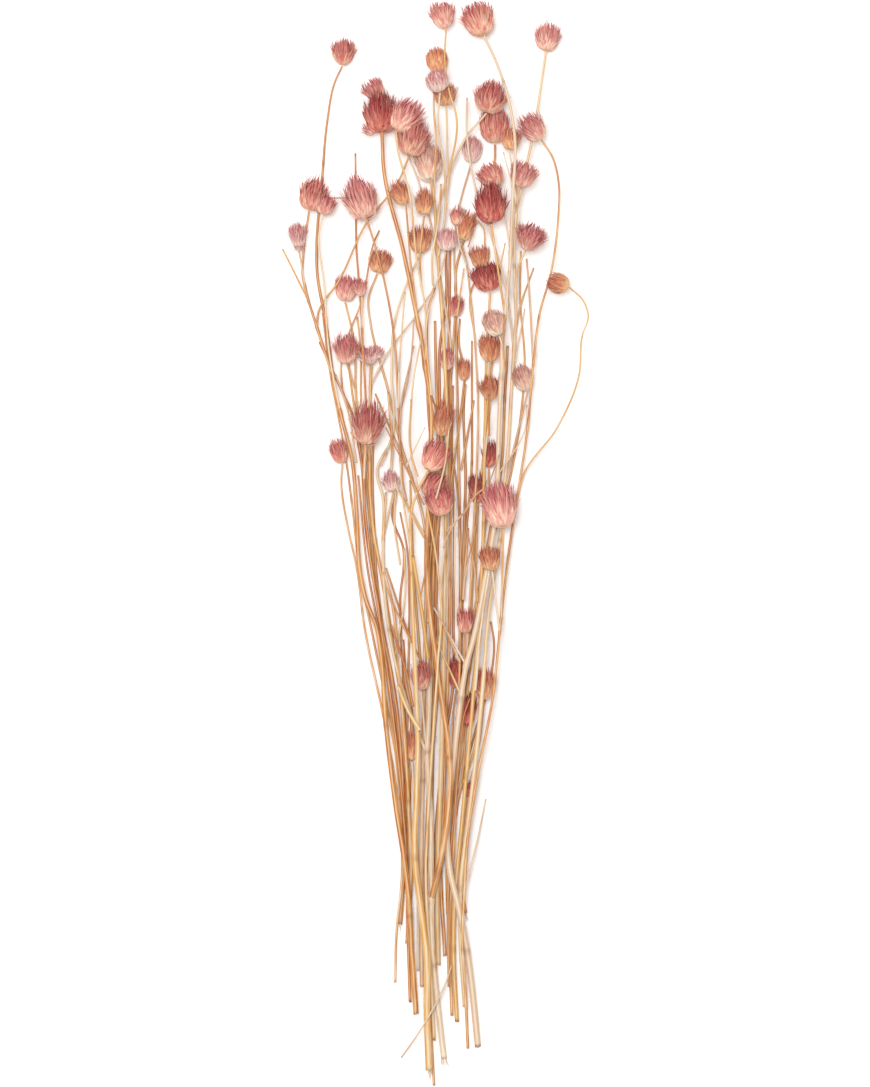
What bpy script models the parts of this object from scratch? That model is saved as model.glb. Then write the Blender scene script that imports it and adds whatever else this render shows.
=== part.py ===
"""Dried globe amaranth: a loose bunch of forking straw-coloured stems with small papery pink heads.

The bunch lies on a table at z = 0, with its heads towards +Y and its cut ends towards -Y.
Stems and heads are traced on the photograph, in its pixels, and PIXEL gives their real size.
Inside the bunch the stems are too many to trace, and a rule draws them between its edges.
Heights aren't in the photograph: the stems are laid one over another, each as low as it can lie.
"""

import math
import random
from collections import namedtuple

import bmesh
import bpy
import numpy as np
from mathutils import Matrix, Vector

MM = 0.001
PIXEL = 0.55 * MM
PHOTO_MIDDLE = (435.0, 544.0)

# Room between pieces, and between a head and the top of its stem.
CLEARANCE = 0.42 * MM
HEAD_SEAT = 0.3 * MM
# Heads that have grown into each other come this much closer than side by side.
TOUCH = 0.7

# A stem's course: how finely it is drawn, and how far it is then thinned out.
FINE_STRETCH = 8 * MM
LONGEST_STRETCH = 55 * MM
TRUE_TO_LINE = 0.8 * MM
# A stem's shape: the half width below which it has four sides, how it thins out (1 is evenly, more is
# later), how much thicker it is at a fork and how deep it runs into a head of its own node.
THIN_STEM = 1.25 * MM
TAPER = 1.5
SWELLING = 1.3
SWELLING_LENGTH = 3.5 * MM
SUNK_STEM = 1.2 * MM
SAME_POINT = 0.01 * MM

# How a stem lies over others: where it is tested, its slope at most and its stiffness.
SAMPLE_STEP = 0.7 * MM
STEEPEST = 0.3
STIFFNESS = 40
LEAST_WEIGHT = 0.02
CLOSE_ENOUGH = 0.005 * MM
MOST_TURNS = 200
FORK_STEP = 0.1 * MM
FORK_TURNS = 6

# A head's globe, as shares of its half width or half length, or of a row of bracts.
CORE = 0.84
TIPS = (0.92, 1.0)
TIP_SHIFT = 0.55
CROWN = 0.9
# Bracts round a head and rows of them, for heads wider than so many pixels.
BRACTS = ((28, 12, 7), (23, 12, 6), (13, 10, 6), (0, 8, 5))

# The lump that sticks two stems together, and how finely their nearest places are looked for.
LUMP_SIDES = 6
LUMP_ROWS = 4
LUMP_DEPTH = 0.9
LUMP_SEARCH = 2 * MM

Head = namedtuple("Head", "centre width tone")
Route = namedtuple("Route", "head widths points joins", defaults=(0,))

TONES = {
    "rose": (0.46, 0.13, 0.13),
    "pink": (0.66, 0.30, 0.26),
    "lilac": (0.70, 0.42, 0.44),
    "orange": (0.58, 0.23, 0.12),
    "wine": (0.30, 0.05, 0.05),
    "cream": (0.80, 0.62, 0.45),
}
STRAW = (0.72, 0.48, 0.24)

# Middle and width of each head on the photograph, and its tone. Its stem's first point is its foot.
HEADS = {
    "01": Head((343, 53), 23, "rose"),
    "02": Head((443, 17), 24, "pink"),
    "03": Head((479, 21.5), 30, "rose"),
    "04": Head((547.5, 38), 24, "pink"),
    "05": Head((437, 59.5), 23, "orange"),
    "06": Head((437, 83), 24, "lilac"),
    "07": Head((445, 96), 22, "orange"),
    "08": Head((375, 91), 21, "pink"),
    "09": Head((381, 115), 34, "wine"),
    "10": Head((404, 119), 29, "pink"),
    "11": Head((413, 140), 30, "rose"),
    "12": Head((429, 165), 27, "cream"),
    "13": Head((490, 99.5), 31, "rose"),
    "14": Head((494.5, 125), 31, "rose"),
    "15": Head((511, 141), 19, "orange"),
    "16": Head((533, 130), 24, "pink"),
    "17": Head((472, 149), 21, "lilac"),
    "18": Head((492, 178), 25, "rose"),
    "19": Head((522, 178), 26, "pink"),
    "20": Head((313, 196), 27, "rose"),
    "21": Head((325.5, 206), 20, "pink"),
    "22": Head((361, 201), 31, "pink"),
    "23": Head((401, 195), 19, "orange"),
    "24": Head((424, 203), 18, "orange"),
    "25": Head((490.5, 206), 31, "wine"),
    "26": Head((298, 238), 18, "lilac"),
    "27": Head((420, 241), 23, "orange"),
    "28": Head((447, 240), 21, "lilac"),
    "29": Head((465, 227), 19, "orange"),
    "30": Head((457, 217), 14, "rose"),
    "31": Head((529, 241), 28, "pink"),
    "32": Head((480, 257.5), 20, "orange"),
    "33": Head((380, 262), 22, "orange"),
    "34": Head((487, 279), 29, "wine"),
    "35": Head((346, 289.5), 23, "pink"),
    "36": Head((360.5, 289), 14, "pink"),
    "37": Head((456, 307), 15, "rose"),
    "38": Head((558, 284), 22, "orange"),
    "39": Head((494, 324), 24, "cream"),
    "40": Head((490, 350), 23, "orange"),
    "41": Head((346, 350), 23, "pink"),
    "42": Head((369, 356), 22, "lilac"),
    "43": Head((447, 359), 15, "pink"),
    "44": Head((464, 370), 13, "orange"),
    "45": Head((523, 378), 22, "cream"),
    "46": Head((490, 390), 21, "orange"),
    "47": Head((443, 421), 20, "orange"),
    "48": Head((368, 427), 29, "rose"),
    "49": Head((339, 452), 18, "rose"),
    "50": Head((434, 459), 26, "rose"),
    "51": Head((391, 482), 17, "lilac"),
    "52": Head((433, 487), 24, "rose"),
    "53": Head((440, 503), 27, "rose"),
    "54": Head((490, 456), 16, "wine"),
    "55": Head((477, 490), 17, "wine"),
    "56": Head((500, 509), 33, "pink"),
    "57": Head((490, 560), 21, "orange"),
    "58": Head((465, 622), 17, "rose"),
    "59": Head((421, 677), 20, "rose"),
    "60": Head((456, 675), 17, "wine"),
    "61": Head((484, 686), 19, "orange"),
    "62": Head((467, 712), 19, "wine"),
    "63": Head((412, 747), 12, "orange"),
    "64": Head((468, 789), 11, "wine"),
}

# Flower stems in the order they are laid. Each starts with the way from its top to its cut end, and
# its side stems follow, each down to the route that it joins. Widths are at the top and at the foot.
STEMS = {
    "62": [
        Route("62", (2.2, 4.5), [(466, 729), (465, 752), (460, 790), (453, 830), (448, 860), (447, 890),
                                 (448, 916)]),
        Route("60", (2, 2.6), [(456, 690), (453, 715), (454, 745), (456, 780), (455, 815)]),
        Route("55", (2, 2.8), [(477, 504), (476, 560), (477, 620), (479, 680), (478, 730), (470, 765),
                               (460, 792)]),
        Route("54", (2, 2.2), [(489, 469), (488, 500), (483, 550), (478, 605), (478, 650)], 2),
    ],
    "61": [
        Route("61", (2.4, 3.2), [(484, 701), (482, 724), (478, 750), (470, 785), (464, 815), (461, 845),
                                 (461, 880), (466, 914)]),
        Route("64", (1.8, 2.2), [(469, 797), (467, 820), (462, 846)]),
    ],
    "14": [
        Route("14", (2.4, 3.6), [(495, 144), (495, 157), (488, 177), (481, 200), (473, 222), (464, 242),
                                 (457, 262), (455, 290), (456, 330), (457, 380), (458, 430), (459, 480),
                                 (460, 530), (460, 580), (460, 640), (459, 700), (457, 760), (455, 820),
                                 (453, 860), (450, 900), (450, 960), (452, 1017)]),
        Route("17", (2, 2.2), [(471, 163), (464, 187), (458, 212), (455, 240), (454, 262), (455, 288)]),
        Route("29", (2, 2.6), [(461, 241), (467, 265), (470, 295), (475, 338), (478, 380), (477, 460),
                               (474, 520), (471, 580), (467, 650), (462, 720), (458, 756)]),
        Route("30", (1.6, 1.8), [(457, 226), (459, 243), (466, 262)], 2),
        Route("32", (2, 2.2), [(482, 268), (473, 284), (471, 300), (475, 340)], 2),
        Route(None, (2, 2.4), [(428, 385), (438, 412), (446, 440), (454, 467), (458, 495), (460, 535)]),
    ],
    "37": [
        Route("37", (2.2, 4.2), [(455, 317), (452, 345), (450, 400), (450, 460), (450, 520), (450, 580),
                                 (449, 640), (447, 700), (445, 760), (443, 820), (441, 860), (441, 900),
                                 (445, 957)]),
        Route("08", (2, 2.4), [(381, 100), (388, 113), (397, 130), (404, 148), (409, 160), (417, 177),
                               (424, 198), (430, 225), (437, 262), (445, 305), (451, 355)]),
        Route("43", (1.8, 2.2), [(447, 371), (448, 400), (450, 435)]),
        Route("44", (1.8, 2.2), [(464, 381), (461, 410), (456, 450), (450, 490)]),
    ],
    "63": [
        Route("63", (2.4, 3.4), [(412, 762), (413, 790), (416, 830), (418, 870), (418, 920), (418, 972)]),
    ],
    "33": [
        Route("33", (2.2, 5), [(377, 273), (371, 287), (368, 300), (369, 315), (372, 330), (378, 350),
                               (384, 375), (390, 397), (397, 425), (404, 455), (412, 480), (420, 505),
                               (425, 530), (426, 570), (425, 620), (424, 700), (423, 760), (422, 820),
                               (421, 870), (421, 930), (422, 988)]),
        Route(None, (2.2, 2.6), [(375, 393), (387, 420), (397, 447), (409, 476)]),
        Route(None, (2, 2.4), [(386, 568), (392, 585), (399, 607), (404, 622), (410, 637), (417, 652),
                               (424.5, 670)]),
    ],
    "12": [
        Route("12", (3, 6), [(431, 181), (435, 210), (438, 260), (441, 300), (444, 345), (446, 390),
                             (447, 440), (446, 500), (445, 560), (444, 620), (443, 680), (442, 740),
                             (440, 800), (438, 850), (437, 900), (438, 966)]),
        Route("05", (2, 2.4), [(439, 72), (434, 97), (436, 140), (434, 165), (434, 198)]),
        Route("07", (2, 2.4), [(446.5, 107), (447, 125), (448, 148), (448, 180), (445, 215), (438, 258)]),
        Route("02", (2, 2.2), [(446, 30), (444, 52), (446, 72), (449, 92), (454, 104), (456, 116),
                               (455, 130), (451, 153), (448, 180)], 2),
        Route("06", (2, 2.2), [(440, 94), (438, 108), (438, 122), (441, 148), (445, 175), (446, 205)], 2),
        Route("13", (2.4, 2.8), [(486.5, 114), (478, 123), (466, 138), (456, 157), (447, 182), (440, 202),
                                 (436, 228)]),
    ],
    "58": [
        Route("58", (2.2, 3), [(465, 634), (464, 665), (462, 700), (460, 740), (457, 780), (453, 830),
                               (449, 870), (448, 920), (449, 987)]),
    ],
    "47": [
        Route("47", (2.4, 3), [(441, 437), (443, 455), (442, 480), (436, 508), (431, 545), (430, 600),
                               (430, 660), (429, 720), (428, 780), (426, 840), (425, 890), (427, 960),
                               (431, 1030), (434, 1087)]),
        Route(None, (2, 2.2), [(399, 490), (406, 503), (414, 517), (422, 531), (431, 547)]),
    ],
    "42": [
        Route("42", (3.4, 4.6), [(371, 364), (371, 400), (369, 440), (371, 480), (371, 500), (373, 530),
                                 (378, 560), (384, 590), (390, 630), (396, 665), (401, 700), (405, 745),
                                 (408, 800), (410, 840), (411, 870), (409, 905), (407, 944)]),
        Route("28", (2, 2.4), [(446, 252), (438, 280), (424, 303), (414, 318), (402, 332), (392, 349),
                               (382, 362), (371, 387)]),
        Route(None, (2, 2.4), [(404, 548), (406, 575), (404, 600), (402, 618), (398, 638), (396, 658)]),
    ],
    "35": [
        Route(None, (2.4, 5), [(319, 341), (325, 353), (335, 376), (345, 398), (354, 420), (360, 450),
                               (362, 480), (364, 515), (369, 545), (373, 575), (380, 615), (387, 650),
                               (392, 680), (398, 720), (402, 770), (403, 800), (403, 830), (404, 860),
                               (403, 890), (400, 925)]),
        Route("35", (2.2, 2.4), [(345, 302), (348, 318), (354, 342), (355, 380), (357, 410), (360, 445)]),
        Route(None, (1.8, 2), [(379, 230), (374, 242), (369, 265), (366, 285), (358, 312), (347, 338),
                               (341, 362), (342, 392)]),
        Route("41", (2, 2.2), [(347, 364), (351, 372), (355, 388)], 1),
    ],
    "48": [
        Route(None, (2, 3.4), [(355, 152), (355, 190), (356, 240), (358, 270), (361, 310), (363, 345),
                               (364, 380), (366, 420), (364, 460), (364, 490), (367, 530), (371, 560),
                               (377, 600), (384, 650), (391, 700), (397, 750), (402, 800), (406, 850),
                               (407, 890), (408, 940), (410, 1003)]),
        Route("36", (1.8, 2), [(362, 297), (361, 307), (361, 330)]),
        Route("48", (2.4, 2.6), [(366, 445), (365, 458), (364, 480)]),
        Route(None, (1.6, 1.8), [(326, 196.5), (340, 196.5), (355, 197)]),
    ],
    "34": [
        Route("34", (2.6, 4.8), [(490, 292), (488, 330), (486, 370), (485, 420), (484, 480), (483, 540),
                                 (480, 600), (476, 660), (471, 720), (466, 780), (461, 830), (457, 870),
                                 (454, 920), (454, 970), (457, 1023)]),
        Route("40", (2, 2.2), [(490, 363), (490, 385), (487, 412), (485, 440)]),
        Route("46", (2, 2.4), [(491, 401), (490, 420), (484, 460)]),
    ],
    "04": [
        Route("04", (2.6, 5), [(546, 51), (540, 95), (534, 130), (528, 160), (524, 178), (519, 198),
                                 (516, 212), (514, 250), (515, 300), (516, 320), (513, 360), (511, 400),
                                 (508, 450), (505, 482), (501, 530), (495, 570), (490, 600), (487, 630),
                                 (484, 670), (480, 715), (475, 765), (469, 815), (463, 860), (460, 900),
                                 (461, 950), (465, 1008)]),
        Route("15", (1.8, 2), [(509, 151), (512, 172), (517, 202)]),
        Route("19", (2, 2.2), [(518, 189), (517, 203), (515, 228)]),
        Route(None, (2, 2.2), [(534, 267), (529, 280), (520, 308), (515, 340)]),
        Route(None, (1.6, 1.8), [(503, 155), (507, 169), (512, 190), (516, 216)]),
        Route("31", (2.2, 2.4), [(525, 252), (518, 268), (514, 295)]),
        Route(None, (2.2, 2.4), [(467, 98), (467, 137), (470, 157), (474, 182), (479, 198), (485, 216),
                                 (493, 245), (502, 272), (508, 300), (513, 350)]),
        Route("45", (2.2, 2.4), [(528, 391), (526, 403), (522, 418), (519, 433), (513, 455), (505, 485)]),
    ],
    "49": [
        Route("49", (2.2, 2.8), [(342, 464), (341, 480), (345, 512), (350, 540), (356, 565), (360, 590),
                                 (363, 620), (369, 650), (376, 680), (384, 720), (391, 760), (398, 800),
                                 (401, 835), (402, 870), (399, 905), (396, 940), (395, 984)]),
    ],
    "01": [
        Route("01", (2, 6), [(342, 65.5), (335, 80), (331, 98), (327, 120), (325, 140), (324, 155),
                             (322, 175), (320, 205), (318, 225), (316, 255), (318, 280), (323, 303),
                             (328, 340), (331, 370), (336, 397), (341, 415), (346, 438), (352, 460),
                             (355, 490), (357, 520), (358, 550), (361, 578), (366, 600), (374, 618),
                             (379, 640), (382, 665), (385, 695), (385, 715), (389, 750), (395, 800),
                             (403, 850), (408, 890), (411, 940), (416, 1015)]),
        Route("20", (2.4, 2.8), [(309, 211), (305, 240), (302, 268), (304, 283), (308, 300), (317, 325),
                                 (325, 350), (332, 376)]),
        Route("26", (2, 2), [(299, 250), (300, 262), (304, 286)], 1),
        Route(None, (1.8, 2), [(282, 248), (290, 263), (297, 276), (308, 300)], 1),
        Route("21", (2, 2.2), [(323, 215), (319, 235), (322, 260), (325, 295), (328, 335), (330, 362),
                               (337, 385), (342, 412)]),
        Route("11", (2.2, 2.4), [(409, 157), (405, 170), (393, 189), (379, 207), (366, 224), (357, 240),
                                 (345, 267), (336, 285), (325, 299), (318, 312), (317, 328)], 1),
    ],
    "03": [
        Route("03", (2.6, 7), [(484, 37), (496, 63), (501, 88), (507, 112), (513, 135), (515, 150),
                               (513, 185), (511, 225), (510, 260), (507, 290), (504, 320), (502, 350),
                               (501, 390), (499, 420), (498, 450), (497, 495), (491, 535), (488, 560),
                               (484, 585), (478, 610), (473, 640), (466, 665), (461, 695), (457, 725),
                               (453, 765), (450, 800), (447, 835), (449, 865), (457, 900), (465, 940),
                               (471, 980), (476, 1025), (478, 1048)]),
        Route("18", (2, 2.2), [(497, 188), (502, 205), (506, 225), (510, 254)]),
        Route("25", (2.4, 2.6), [(491, 225), (495, 255), (501, 285), (504, 316)]),
        Route("39", (2.2, 2.4), [(499, 337), (503, 350), (501, 378)]),
        Route(None, (1.4, 1.8), [(527, 405), (526, 425), (514, 448), (498, 476)]),
        Route(None, (2, 2.4), [(433, 606), (441, 622), (449, 638), (457, 652), (465, 668)]),
        Route(None, (2, 2.6), [(428, 622), (436, 640), (443, 657), (451, 674), (460.5, 696)]),
    ],
    "16": [
        Route("16", (2.2, 3.2), [(541, 141), (553, 160), (559, 190), (557, 230), (551, 272), (541, 305),
                                 (537, 335), (533, 365), (530, 405), (526, 440), (521, 470), (517, 500),
                                 (512, 530), (508, 560), (505, 590), (500, 625), (497, 660), (493, 695),
                                 (487, 730), (481, 757), (476, 785), (471, 815), (467, 845), (464, 880),
                                 (462, 920), (463, 960), (466, 1000), (468, 1050)]),
        Route("38", (1.8, 2.2), [(569, 288), (583, 301), (588, 316), (582, 336), (581, 357), (579, 375),
                                 (571, 397), (563, 417), (552, 436), (540, 452), (524, 474), (515, 508)]),
        Route(None, (2, 2.2), [(527, 258), (529, 290), (532, 330), (533, 368)]),
        Route("57", (2.2, 2.4), [(492, 571), (493, 588), (498, 606), (500, 632)]),
        Route("56", (2.4, 2.6), [(503, 529), (503, 560), (501, 618)]),
        Route(None, (1.6, 2), [(486, 800), (483, 815), (474, 855), (464, 888)]),
    ],
    "09": [
        Route(None, (6, 6.6), [(430, 673), (429, 700), (427, 745), (428, 775), (431, 830), (431, 889),
                             (431, 920), (433, 960), (437, 1000), (441, 1040), (444, 1060)]),
        Route("09", (4, 6.4), [(382, 133), (382, 158), (389, 195), (396, 225), (403, 250), (409, 285),
                               (415, 312), (421, 337), (426, 365), (430, 400), (430, 460), (427, 540),
                               (427, 580), (431, 610), (436, 650), (440, 690), (446, 735), (450, 765),
                               (449, 795), (445, 830), (441, 860), (432, 900)]),
        Route("27", (2.4, 3.6), [(420, 254), (415, 264), (406, 285), (399, 305), (394, 325), (393, 345),
                                 (391, 385), (391, 440), (387, 452), (380, 463), (377, 470), (382, 490),
                                 (384, 520), (383, 560), (387, 590), (391, 640), (398, 675), (409, 708),
                                 (428, 755)]),
        Route("23", (2, 2.2), [(406, 206), (409, 230), (411, 265), (414, 295), (418, 325)], 1),
        Route("10", (2.2, 2.4), [(396, 132), (398, 150), (404, 172), (409, 192), (413, 220), (415, 245),
                                 (419, 275), (424, 300), (425, 330), (426, 368)], 1),
        Route("24", (2, 2.2), [(424, 216), (423, 240), (420, 262), (421, 286)], 4),
        Route("51", (2, 2.2), [(393, 492), (390, 505), (387, 518), (384, 540)], 2),
        Route("59", (2.2, 2.4), [(421, 691), (422, 715), (425, 737), (427, 758)]),
        Route(None, (3, 3), [(435, 736), (428, 753)]),
    ],
    "53": [
        Route("52", (2, 3.4), [(425, 497), (427, 515), (435, 550), (441, 600), (438, 660), (434, 720),
                               (430, 780), (427, 840), (426, 890), (430, 960), (434, 1041)]),
        Route("53", (2.2, 2.4), [(443, 516), (444, 540), (441, 592)]),
        Route(None, (1.8, 2), [(486, 487), (476, 495), (463, 514), (444, 533)], 1),
    ],
    "50": [
        Route("50", (2.6, 8), [(428, 472), (424, 481), (418, 490), (413, 505), (411, 530), (411, 560),
                             (413, 620), (416, 690), (418, 740), (417, 780), (416, 820), (415, 860),
                             (418, 890), (423, 920), (427, 960), (427, 1010), (429, 1071)]),
        Route(None, (1.8, 2.2), [(421, 340), (417, 366), (414, 378), (412, 395), (411, 420), (411, 450),
                                 (413, 467), (416, 492)]),
        Route(None, (1.8, 2.2), [(405, 292), (402, 320), (400, 360), (398, 400), (401, 455), (401, 475),
                                 (403, 490), (407, 520), (411, 552)]),
        Route("22", (2.2, 2.6), [(367, 220), (371, 230), (375, 243), (381, 270), (387, 302), (393, 332),
                                 (396, 355), (397, 385), (400, 425), (401, 462)], 2),
        Route(None, (1.8, 2), [(414, 320), (412, 345), (410, 368), (406, 390), (399, 418)], 2),
    ],
    "twig": [
        Route(None, (1.8, 1.8), [(452, 965), (447, 980), (433, 1005), (418, 1034), (407, 1051),
                                 (401, 1059)]),
    ],
}

# The bunch's left and right edge at some heights of the photograph.
EDGES = (
    (150, 330, 545), (250, 318, 553), (340, 331, 535), (450, 350, 524), (560, 359, 508), (700, 383, 492),
    (820, 399, 471), (1000, 408, 466),
)
# Plants inside the bunch, too many stems to trace. They lie at the back, and below the points that show
# between the front stems they run down as the edges do. First each one's main stem, with its points
# and its cut end, then its side stems with the heights where they join it, each with its widths.
INSIDE = {
    "left": [
        ([(347, 352)], (410, 935), (2.2, 4.6)),
        ([(322, 312), (326, 340), (330, 375), (338, 412), (345, 455), (353, 515)], 850, (1.8, 3)),
        ([(358, 475), (361, 510), (364, 545), (369, 580), (375, 612)], 880, (2, 3)),
        ([(357, 316), (360, 345), (361, 405)], 800, (2, 2.8)),
        ([(373, 436), (372, 470), (373, 500)], 830, (3, 3.6)),
        ([(396, 492), (392, 515), (399, 535), (403, 548), (402, 575), (400, 592)], 860, (2.4, 3)),
        ([(400, 512), (406, 540), (408, 570)], 900, (2, 3)),
        ([(402, 640), (405, 665), (406, 685), (410, 705)], 890, (5, 4)),
    ],
    "middle": [
        ([(435, 320), (435, 345), (436, 375), (438, 405)], (431, 975), (3, 5)),
        ([(450, 246), (449, 275), (448, 300), (449, 330)], 870, (3, 4)),
        ([(446, 250), (445, 275), (446, 300), (440, 345), (440, 400)], 740, (3, 3.4)),
        ([(435, 286), (429, 305), (427, 330), (427, 355)], 620, (2, 2.4)),
        ([(453, 385), (452, 450), (454, 500), (454, 540), (453, 640), (452, 700)], 900, (2.4, 3.6)),
        ([(439, 525), (438, 565), (437, 600), (439, 640)], 780, (2, 3)),
        ([(447, 366)], 840, (2.2, 3.6)),
        ([(410, 480)], 860, (2.2, 4)),
    ],
    "right": [
        ([(460, 318), (459, 345), (463, 362)], (452, 950), (2.2, 5)),
        ([(472, 340), (472, 380), (472, 440)], 840, (2.2, 3.6)),
        ([(493, 354)], 870, (2.2, 4)),
        ([(508, 345), (507, 375), (504, 410), (503, 440), (502, 462)], 800, (3, 4)),
        ([(521, 250), (520, 275), (521, 310), (524, 340), (525, 365), (523, 400), (512, 470)], 720, (2, 3)),
        ([(500, 512)], 820, (2.2, 3.4)),
        ([(491, 622), (494, 640), (492, 672)], 860, (2.2, 3)),
    ],
}
# Pixels between the points of such a stem, and its waves: their share of the width and their length.
INSIDE_STEP = 45
WAVE = (0.015, 70)

# Heads that have grown into each other share a node, and so do stems that are stuck together.
HEADS_TOGETHER = (("09", "10", "11"), ("20", "21"), ("29", "30"), ("52", "53"))
STEMS_TOGETHER = (
    ("61", "62", "14", "58", "right"), ("37", "12", "middle"), ("63", "33", "47", "left"),
    ("42", "48", "35"), ("34", "04"), ("49", "01"), ("53", "50", "twig"), ("03", "16"),
)
# Small heads at the back, part of their stem's node.
HEADS_ON_STEMS = ("36", "43", "44", "54", "55", "60", "62", "63", "64")


def placed(pixel):
    """A point of the photograph, in metres on the table."""
    return ((pixel[0] - PHOTO_MIDDLE[0]) * PIXEL, (PHOTO_MIDDLE[1] - pixel[1]) * PIXEL)


def inside_route(number, points, foot, widths, joins):
    """A stem inside the bunch: below its points it keeps its place between the edges on its way down."""
    heights, lefts, rights = zip(*EDGES)

    def span(y):
        return np.interp(y, heights, lefts), np.interp(y, heights, rights)

    top = points[-1]
    start, end = ((x - span(y)[0]) / (span(y)[1] - span(y)[0]) for x, y in (top, foot))
    pieces = math.ceil((foot[1] - top[1]) / INSIDE_STEP)
    lower = []
    for y in np.linspace(top[1], foot[1], pieces + 1)[1:-1]:
        share = start + (end - start) * (y - top[1]) / (foot[1] - top[1])
        share += WAVE[0] * math.sin(y / WAVE[1] + 2 * number)
        left, right = span(y)
        lower.append((float(left + (right - left) * share), float(y)))
    return Route(None, widths, [*points, *lower, foot], joins)


def inside_plant(rows):
    """The routes of one plant inside the bunch."""
    main = inside_route(0, *rows[0], 0)
    ways = sorted((y, x) for x, y in main.points)
    sides = [
        inside_route(i, points, (float(np.interp(join, *zip(*ways))), join), widths, 0)
        for i, (points, join, widths) in enumerate(rows[1:], 1)
    ]
    return [main, *sides]


class Knot:
    """One bend of a stem: its place, its half width and whether its height is settled."""

    def __init__(self, x, y, radius):
        self.x, self.y, self.z = x, y, 0.0
        self.radius = radius
        self.settled = False

    def away(self, x, y):
        return math.hypot(self.x - x, self.y - y)


def smooth_line(points):
    """The hand-picked points with others between them, on a smooth curve."""
    line = [points[0]]
    for i in range(len(points) - 1):
        before = points[max(i - 1, 0)]
        start, end = points[i], points[i + 1]
        after = points[min(i + 2, len(points) - 1)]
        pieces = math.ceil(math.dist(start, end) / FINE_STRETCH)
        for piece in range(1, pieces):
            t = piece / pieces
            line.append(tuple(
                0.5 * (2 * b + (c - a) * t + (2 * a - 5 * b + 4 * c - d) * t**2 + (3 * b - a - 3 * c + d) * t**3)
                for a, b, c, d in zip(before, start, end, after)
            ))
        line.append(end)
    return line


def few_points(line):
    """The points of a fine line that keep its shape, none further apart than a stem may run straight."""
    start, end = np.array(line[0]), np.array(line[-1])
    run = end - start
    length = np.hypot(*run)
    inner = np.array(line[1:-1]).reshape(-1, 2) - start
    if not len(inner):
        return [line[0], line[-1]]
    off = np.abs(inner[:, 0] * run[1] - inner[:, 1] * run[0]) / length
    if off.max() < TRUE_TO_LINE and length < LONGEST_STRETCH:
        return [line[0], line[-1]]
    split = 1 + int(np.argmax(off)) if off.max() >= TRUE_TO_LINE else len(line) // 2
    return few_points(line[: split + 1])[:-1] + few_points(line[split:])


class Line:
    """A route from its foot to its top, as knots, with the head that it carries."""

    def __init__(self, route):
        self.route = route
        line = few_points(smooth_line([placed(point) for point in route.points])[::-1])
        along = np.concatenate([[0], np.cumsum([math.dist(a, b) for a, b in zip(line, line[1:])])])
        top, foot = (width * PIXEL / 2 for width in route.widths)
        self.knots = [
            Knot(x, y, foot + (top - foot) * (s / along[-1]) ** TAPER) for (x, y), s in zip(line, along)
        ]
        self.tip = None
        if route.head:
            centre = placed(HEADS[route.head].centre)
            base = self.knots[-1]
            self.tip = Knot(2 * centre[0] - base.x, 2 * centre[1] - base.y, 0)
            self.head_radius = HEADS[route.head].width * PIXEL / 2

    def nearest(self, x, y):
        """(distance, index of the stretch, share of the way along it) of the line's nearest place."""
        best = (math.inf, 0, 0.0)
        for i, (a, b) in enumerate(zip(self.knots, self.knots[1:])):
            dx, dy = b.x - a.x, b.y - a.y
            t = ((x - a.x) * dx + (y - a.y) * dy) / (dx * dx + dy * dy)
            t = min(max(t, 0.0), 1.0)
            best = min(best, (math.hypot(a.x + dx * t - x, a.y + dy * t - y), i, t))
        return best

    def add_knot(self, x, y):
        """The knot nearest to a place: a new one, unless one of the line's own is close by."""
        _, i, t = self.nearest(x, y)
        a, b = self.knots[i], self.knots[i + 1]
        place = (a.x + (b.x - a.x) * t, a.y + (b.y - a.y) * t)
        for knot in (a, b):
            if knot.away(*place) < SWELLING_LENGTH / 2:
                return knot
        knot = Knot(*place, a.radius + (b.radius - a.radius) * t)
        self.knots.insert(i + 1, knot)
        return knot


def swell(line, knot):
    """Thickens a line at a fork, with a knot of the usual width on each side."""
    i = line.knots.index(knot)
    for step in (1, -1):
        if not 0 <= i + step < len(line.knots):
            continue
        other = line.knots[i + step]
        reach = knot.away(other.x, other.y)
        if reach > 2 * SWELLING_LENGTH:
            t = SWELLING_LENGTH / reach
            beside = Knot(
                knot.x + (other.x - knot.x) * t,
                knot.y + (other.y - knot.y) * t,
                knot.radius + (other.radius - knot.radius) * t,
            )
            line.knots.insert(max(i, i + step), beside)
            i = line.knots.index(knot)
    knot.radius *= SWELLING


def plant_lines(routes):
    """The lines of one flower stem, with each side stem's foot on the line that it grows from."""
    lines = [Line(route) for route in routes]
    forks = []
    for line in lines[1:]:
        parent = lines[line.route.joins]
        foot = line.knots[0]
        fork = parent.add_knot(foot.x, foot.y)
        line.knots[0] = fork
        forks.append((parent, fork))
    swollen = []
    for parent, fork in forks:
        if fork not in swollen and fork is not parent.knots[0]:
            swell(parent, fork)
            swollen.append(fork)
    return lines


def stretches(line):
    """Each straight stretch of a line, its head's axis too: its two knots, radii and kind."""
    found = [(a, b, a.radius, b.radius, "stem") for a, b in zip(line.knots, line.knots[1:])]
    if line.tip:
        found.append((line.knots[-1], line.tip, line.head_radius, line.head_radius, "head"))
    return found


def head_span(a, b, radius):
    """Where along its axis a head's round ends have their middles."""
    inset = min(radius / a.away(b.x, b.y), 0.5)
    return inset, 1 - inset


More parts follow.
